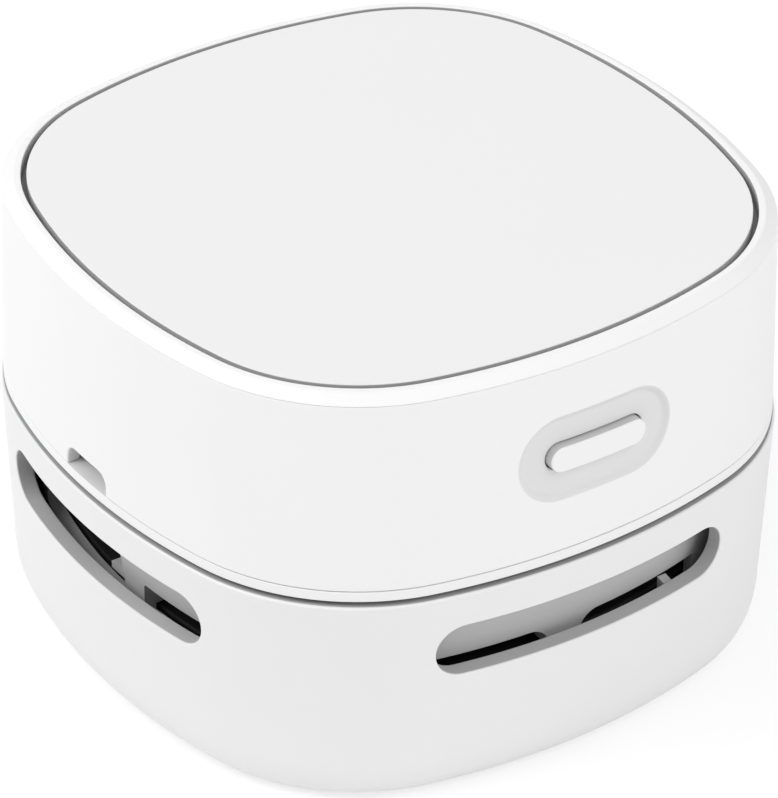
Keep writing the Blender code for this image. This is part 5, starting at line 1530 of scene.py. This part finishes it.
class MINIVACUUM_OT_filter(bpy.types.Operator):
    """Make the filter: its frame with the grip, its cloth and its gasket"""
    bl_idname = "mini_vacuum.filter"
    bl_label = "Filter"

    def execute(self, context):
        plan = Plan()
        self.frame(plan)
        self.cloth(plan)
        self.gasket(plan)
        return {"FINISHED"}

    def frame(self, plan):
        """The frame's ring, with its bars and grip."""
        sizes = settings().filter
        edge = 2 * settings().body.edge
        outer, inner = FILTER_HIGH.x, FILTER_HIGH.x - sizes.ring
        low, top = FILTER_LOW.z, FILTER_LOW.z + sizes.thick
        profile = rounded_edge(outer, low, edge, 3, 1, -1)
        profile += rounded_edge(outer, top, edge, 3, 1, 1)[::-1]
        profile += rounded_edge(inner, top, edge, 3, -1, 1)
        profile += rounded_edge(inner, low, edge, 3, -1, -1)[::-1]
        bm = bmesh.new()
        hoop(bm, plan.rings(profile))
        piece = made_object("filter_frame_ring", bm, "black_moulding", weighted=False)
        carved(piece, ("UNION", self.bars(inner, top)), ("UNION", self.grip(top)))
        settle(piece, "filter", "dark_plastic", "filter_frame")

    def bars(self, inner, top):
        """The cross in the frame."""
        sizes = settings().filter
        arm = sizes.bar_half
        corners = ((-arm, -inner - SINK), (arm, -inner - SINK), (arm, -arm))
        bm = bmesh.new()
        prism(bm, *[[quarter((x, y, z), side) for side in SIDES for x, y in corners]
                    for z in (top - sizes.bar_thick, top)])
        return bm

    def grip(self, top):
        """A grip with round ends and a thicker top to hold it by."""
        sizes = settings().filter
        edge = 2 * settings().body.edge
        wide, high = sizes.grip_half_y, FILTER_HIGH.z
        waist = wide * 0.7
        rows = [(waist, top - SINK), (waist, high - 4 * edge), (wide, high - 3 * edge),
                (wide, high - edge), (wide - edge, high)]
        bm = bmesh.new()
        capped(bm, [rounded(sizes.grip_half_x - wide + half, half, half, z, 0.0, 8)
                    for half, z in rows])
        return bm

    def cloth(self, plan):
        """A stretched sheet that bows a little between the frame's bars."""
        sizes = settings().filter
        low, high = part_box("filter_cloth")
        edge = plan.ring(high.x, 0.0)
        middle = (low.z + high.z) / 2
        rows = []
        for share in spread(0.0, 1.0, 24)[1:]:
            row = []
            for x, y, _ in edge:
                near_bar = min(abs(x), abs(y)) * share
                bow = sizes.quilt * min(1.0, near_bar / (6 * sizes.bar_half)) * (1 - share ** 4)
                row.append((x * share, y * share, middle - bow))
            rows.append(row)
        bm = bmesh.new()
        quads(bm, rows, around=True)
        flat_face(bm, rows[0])
        piece = made_object("filter_cloth_sheet", bm, "needled_felt", weighted=False)
        thicken = piece.modifiers.new("thickness", "SOLIDIFY")
        thicken.thickness = sizes.cloth
        thicken.offset = 0.0
        apply_modifiers(piece)
        settle(piece, "filter", "felt", "filter_cloth")

    def gasket(self, plan):
        """A ring with a round back and a thin lip against the skirt."""
        low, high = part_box("filter_gasket")
        inner = high.x - settings().filter.lip
        middle = (low.z + high.z) / 2
        half = (high.z - low.z) / 2
        profile = [(high.x - half + half * math.sin(angle), middle + half * math.cos(angle))
                   for angle in spread(0.0, math.pi, 10)]
        profile += [(inner, low.z), (inner, middle - half * 0.4), (inner + half, middle),
                    (inner, middle + half * 0.4), (inner, high.z)]
        bm = bmesh.new()
        hoop(bm, plan.rings(profile))
        piece = made_object("filter_gasket_ring", bm, "soft_rubber")
        settle(piece, "filter", "rubber", "filter_gasket")


class MINIVACUUM_OT_fan_cover(bpy.types.Operator):
    """Make the plate under the fan, with its inlet eye"""
    bl_idname = "mini_vacuum.fan_cover"
    bl_label = "Fan Cover"

    def execute(self, context):
        fan = settings().fan
        edge = 2 * settings().body.edge
        outer, low, high = COVER_HIGH.x, COVER_LOW.z, COVER_HIGH.z
        rims = Plan().rings([(outer - edge, low), (outer, low + edge), (outer, high - edge),
                             (outer - edge, high)])
        thick = high - low
        eyes = [circle(fan.eye + thick * (1 - math.sin(angle)), high - thick * math.cos(angle),
                       WIDE)
                for angle in spread(0.0, QUARTER, 6)]
        bores = [[circle(settings().screws.cover + FIT, z, HOLE,
                         centre_of(f"fan_cover_screw_{index}")) for z in (low, high)]
                 for index in range(1, 5)]
        bm = bmesh.new()
        for loops in (rims, eyes, *bores):
            quads(bm, loops, around=True)
        for end in (0, -1):
            flat_face(bm, *[loops[end] for loops in (rims, eyes, *bores)])
        piece = made_object("fan_cover_plate", bm, "black_moulding")
        settle(piece, "motor_unit", "dark_plastic", "fan_cover")
        return {"FINISHED"}


class MINIVACUUM_OT_impeller(bpy.types.Operator):
    """Make the impeller: hub, plate and swept blades"""
    bl_idname = "mini_vacuum.impeller"
    bl_label = "Impeller"

    def execute(self, context):
        fan = settings().fan
        edge = settings().body.edge
        low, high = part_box("impeller")
        radius = high.x
        under = fan.plate_top - fan.plate
        hub_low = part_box("motor_shaft")[0].z - FIT
        profile = [(fan.bore, hub_low), (fan.hub - edge, hub_low), (fan.hub, hub_low + edge),
                   (fan.hub, under - 6 * edge), (fan.hub + 2 * edge, under - 2 * edge),
                   (fan.hub + 6 * edge, under), (radius - edge, under), (radius, under + edge),
                   (radius, fan.plate_top - edge), (radius - edge, fan.plate_top),
                   (fan.hub, fan.plate_top), (fan.hub, high.z - edge), (fan.hub - edge, high.z),
                   (fan.bore, high.z)]
        bm = bmesh.new()
        hoop(bm, [circle(half, z, WIDE) for half, z in profile])
        piece = made_object("fan_impeller", bm, "black_moulding", weighted=False)
        mould = made_object("blade", self.blade(low.z, under + SINK, radius - SINK),
                            "black_moulding", weighted=False)
        blades = grown("blades", turned_copies_tree(), bpy.data.meshes.new("blades"),
                       {"Shape": mould, "Count": fan.blades, "Material": finish("black_moulding")})
        bm = bmesh.new()
        bm.from_mesh(blades.data)
        bpy.data.objects.remove(blades)
        bpy.data.objects.remove(mould)
        carved(piece, ("UNION", bm))
        settle(piece, "rotor", "dark_plastic", "impeller")
        return {"FINISHED"}

    def blade(self, low, high, reach):
        """One blade, swept back, with round ends."""
        fan = settings().fan
        half = fan.blade_thick / 2
        outline = []
        for sign in (1, -1):
            for share in spread(0.0, 1.0, 14)[::sign]:
                radius = fan.blade_inner + (reach - fan.blade_inner) * share
                angle = fan.sweep * share ** 2
                taper = half * min(1.0, 0.4 + 6 * share, 0.4 + 6 * (1 - share))
                outline.append((radius * math.cos(angle) - sign * taper * math.sin(angle),
                                radius * math.sin(angle) + sign * taper * math.cos(angle)))
        bm = bmesh.new()
        prism(bm, *[[(x, y, z) for x, y in outline] for z in (low, high)])
        return bm


class MINIVACUUM_OT_screws(bpy.types.Operator):
    """Make every screw of the motor unit as one mesh"""
    bl_idname = "mini_vacuum.screws"
    bl_label = "Screws"

    def execute(self, context):
        sizes = settings().screws
        nodes = [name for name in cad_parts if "screw" in name]
        points, radii, lengths, turns = [], [], [], []
        for name in nodes:
            low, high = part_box(name)
            centre = (low + high) / 2
            lies = name.startswith("switch_board")
            if lies:
                points.append((centre.x, low.y + sizes.head, centre.z))
                lengths.append(high.y - low.y - sizes.head)
            else:
                points.append((centre.x, centre.y, low.z + sizes.head))
                lengths.append(high.z - low.z - sizes.head)
            radii.append(sizes.board if lies else sizes.cover if name.startswith("fan")
                         else sizes.case)
            turns += (-QUARTER if lies else 0.0, 0.0, 0.4 * len(points))
        places = bpy.data.meshes.new("screws")
        places.from_pydata(points, [], [])
        for name, kind, field, values in (
                ("radius", "FLOAT", "value", radii), ("length", "FLOAT", "value", lengths),
                ("turn", "FLOAT_VECTOR", "vector", turns)):
            places.attributes.new(name, kind, "POINT").data.foreach_set(field, values)
        head, shank = self.head(), self.shank()
        made = grown("motor_unit_screws", screw_tree(), places, {
            "Head": head, "Shank": shank, "Head Share": sizes.head_share,
            "Head Thickness": sizes.head, "Material": finish("screw_steel")})
        bpy.data.objects.remove(head)
        bpy.data.objects.remove(shank)
        settle(made, "motor_unit", "steel", *nodes)
        return {"FINISHED"}

    def head(self):
        """A pan head of radius and thickness 1 under its seat, with a cross recess."""
        profile = [(0.94, 0.0), (1.0, -0.12), (1.0, -0.42)]
        profile += [(0.2 + 0.8 * math.cos(angle), -0.42 - 0.58 * math.sin(angle))
                    for angle in spread(0.0, QUARTER, 6)[1:]]
        bm = bmesh.new()
        turned(bm, profile, PIN)
        made = made_object("head", bm, "screw_steel", weighted=False)
        wings = bmesh.new()
        for long, short in ((0.62, 0.13), (0.13, 0.62)):
            capped(wings, [rounded(long * share, short * share, 0.05, z, 0.0, 2)
                           for share, z in ((0.45, -0.35), (1.0, -1.1))])
        boolean(made, wings, "DIFFERENCE")
        return made

    def shank(self):
        """A ridged shank of radius and length 1, with a pointed end."""
        turns = settings().screws.threads
        profile = [(0.86, -0.02)]
        for ridge in range(turns):
            start = 0.06 + 0.84 * ridge / turns
            profile += [(0.8, start), (1.0, start + 0.42 / turns)]
        profile += [(0.8, 0.93), (0.25, 1.0)]
        bm = bmesh.new()
        turned(bm, profile, SHANK)
        return made_object("shank", bm, "screw_steel", weighted=False)


class MINIVACUUM_OT_frame_finishes(bpy.types.Operator):
    """Give every node of the frame that stays its finish"""
    bl_idname = "mini_vacuum.frame_finishes"
    bl_label = "Frame Finishes"

    def execute(self, context):
        for name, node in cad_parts.items():
            look = next((made for start, made in NODE_FINISHES if name.startswith(start)),
                        "black_moulding")
            if "_lead_" in name:
                look = "red_sleeve" if name.endswith("2") else "black_sleeve"
            node.data.materials.clear()
            node.data.materials.append(finish(look))
        return {"FINISHED"}


# Studio

class MINIVACUUM_OT_stage(bpy.types.Operator):
    """Make the floor, the lights and the camera"""
    bl_idname = "mini_vacuum.stage"
    bl_label = "Stage"

    def execute(self, context):
        studio = settings().studio
        self.camera(context, studio)
        self.floor(studio)
        self.world(context, studio)
        for name, place in LAMPS.items():
            self.lamp(f"{name}_light", place, studio.lamp_size, getattr(studio, name))
        context.scene.view_settings.view_transform = "Standard"
        return {"FINISHED"}

    def camera(self, context, studio):
        """The camera, turned about the object, raised and rolled."""
        turn, rise, roll = studio.azimuth, studio.elevation, studio.roll
        back = Vector((math.sin(turn) * math.cos(rise), -math.cos(turn) * math.cos(rise),
                       math.sin(rise)))
        level = Vector((math.cos(turn), math.sin(turn), 0.0))
        upright = back.cross(level)
        right = level * math.cos(roll) + upright * math.sin(roll)
        up = upright * math.cos(roll) - level * math.sin(roll)
        data = bpy.data.cameras.new("camera")
        data.sensor_width = SENSOR_WIDTH
        data.lens = studio.lens
        data.clip_start = CLIP_START
        made = linked("camera", data)
        made.matrix_world = Matrix((right, up, back)).transposed().to_4x4()
        made.location = studio.place
        context.scene.camera = made

    def floor(self, studio):
        """A wide floor that glows a little for the camera, and is plain to every other ray."""
        bm = bmesh.new()
        bmesh.ops.create_grid(bm, x_segments=1, y_segments=1, size=FLOOR_HALF)
        mesh = bpy.data.meshes.new("floor")
        bm.to_mesh(mesh)
        bm.free()
        look = bpy.data.materials.new("floor")
        look.use_nodes = True
        tree = look.node_tree
        tree.nodes.remove(tree.nodes["Principled BSDF"])
        plain = out(tree, "ShaderNodeBsdfDiffuse", {"Color": (*studio.floor, 1.0)})
        seen = out(tree, "ShaderNodeBsdfDiffuse", {
            "Color": (*[FLOOR_WHITE - studio.floor_glow] * 3, 1.0)})
        glow = out(tree, "ShaderNodeEmission", {"Color": WHITE, "Strength": studio.floor_glow})
        both = out(tree, "ShaderNodeAddShader", {0: seen, 1: glow})
        show_by_ray(tree, plain, both, "Material Output")
        mesh.materials.append(look)
        linked("floor", mesh)

    def world(self, context, studio):
        """A white backdrop that lights less than it shows."""
        world = bpy.data.worlds.new("studio")
        world.use_nodes = True
        tree = world.node_tree
        light = tree.nodes["Background"]
        fill(tree, light.inputs, {"Color": WHITE, "Strength": studio.world})
        white = out(tree, "ShaderNodeBackground", {"Color": WHITE})
        show_by_ray(tree, light.outputs[0], white, "World Output")
        context.scene.world = world

    def lamp(self, name, place, size, power):
        """A round light that looks at the object."""
        data = bpy.data.lights.new(name, "AREA")
        data.shape = "DISK"
        data.size = size
        data.energy = power
        made = linked(name, data)
        made.location = place
        aim = LAMP_AIM - Vector(place)
        made.rotation_euler = aim.to_track_quat("-Z", "Y").to_euler()


def show_by_ray(tree, plain, seen, output):
    """One shader for the rays that show the backdrop: from the camera, and in gloss and glass."""
    rays = node_of(tree, "ShaderNodeLightPath").outputs
    both = maths(tree, "MAXIMUM", rays["Is Camera Ray"], rays["Is Glossy Ray"])
    fac = maths(tree, "MAXIMUM", both, rays["Is Transmission Ray"])
    choice = out(tree, "ShaderNodeMixShader", {"Fac": fac, 1: plain, 2: seen})
    tree.links.new(choice, tree.nodes[output].inputs["Surface"])


class MINIVACUUM_PT_panel(bpy.types.Panel):
    """Lists the operators that make the pieces, their finishes and the studio"""
    bl_label = "Mini Vacuum"
    bl_idname = "MINIVACUUM_PT_panel"
    bl_space_type = "VIEW_3D"
    bl_region_type = "UI"
    bl_category = "Mini Vacuum"

    def draw(self, context):
        for operator in OPERATORS:
            self.layout.operator(operator.bl_idname)


OPERATORS = (MINIVACUUM_OT_frame_finishes, MINIVACUUM_OT_dust_cup, MINIVACUUM_OT_base_plate,
             MINIVACUUM_OT_upper_housing, MINIVACUUM_OT_top, MINIVACUUM_OT_button,
             MINIVACUUM_OT_inlet, MINIVACUUM_OT_brushes, MINIVACUUM_OT_feet, MINIVACUUM_OT_filter,
             MINIVACUUM_OT_fan_cover, MINIVACUUM_OT_impeller, MINIVACUUM_OT_screws,
             MINIVACUUM_OT_stage)
GROUPS = (BodySizes, CupSizes, HousingSizes, ButtonSizes, SkirtSizes, InletSizes, FilterSizes,
          FanSizes, ScrewSizes, Finishes, Studio, MiniVacuumSettings)
CLASSES = GROUPS + OPERATORS + (MINIVACUUM_PT_panel,)


def register():
    for item in CLASSES:
        bpy.utils.register_class(item)
    bpy.types.Scene.mini_vacuum = PointerProperty(type=MiniVacuumSettings)


def unregister():
    del bpy.types.Scene.mini_vacuum
    for item in reversed(CLASSES):
        bpy.utils.unregister_class(item)


def main():
    register()
    for operator in OPERATORS:
        group, name = operator.bl_idname.split(".")
        getattr(getattr(bpy.ops, group), name)()


if __name__ == "__main__":
    main()
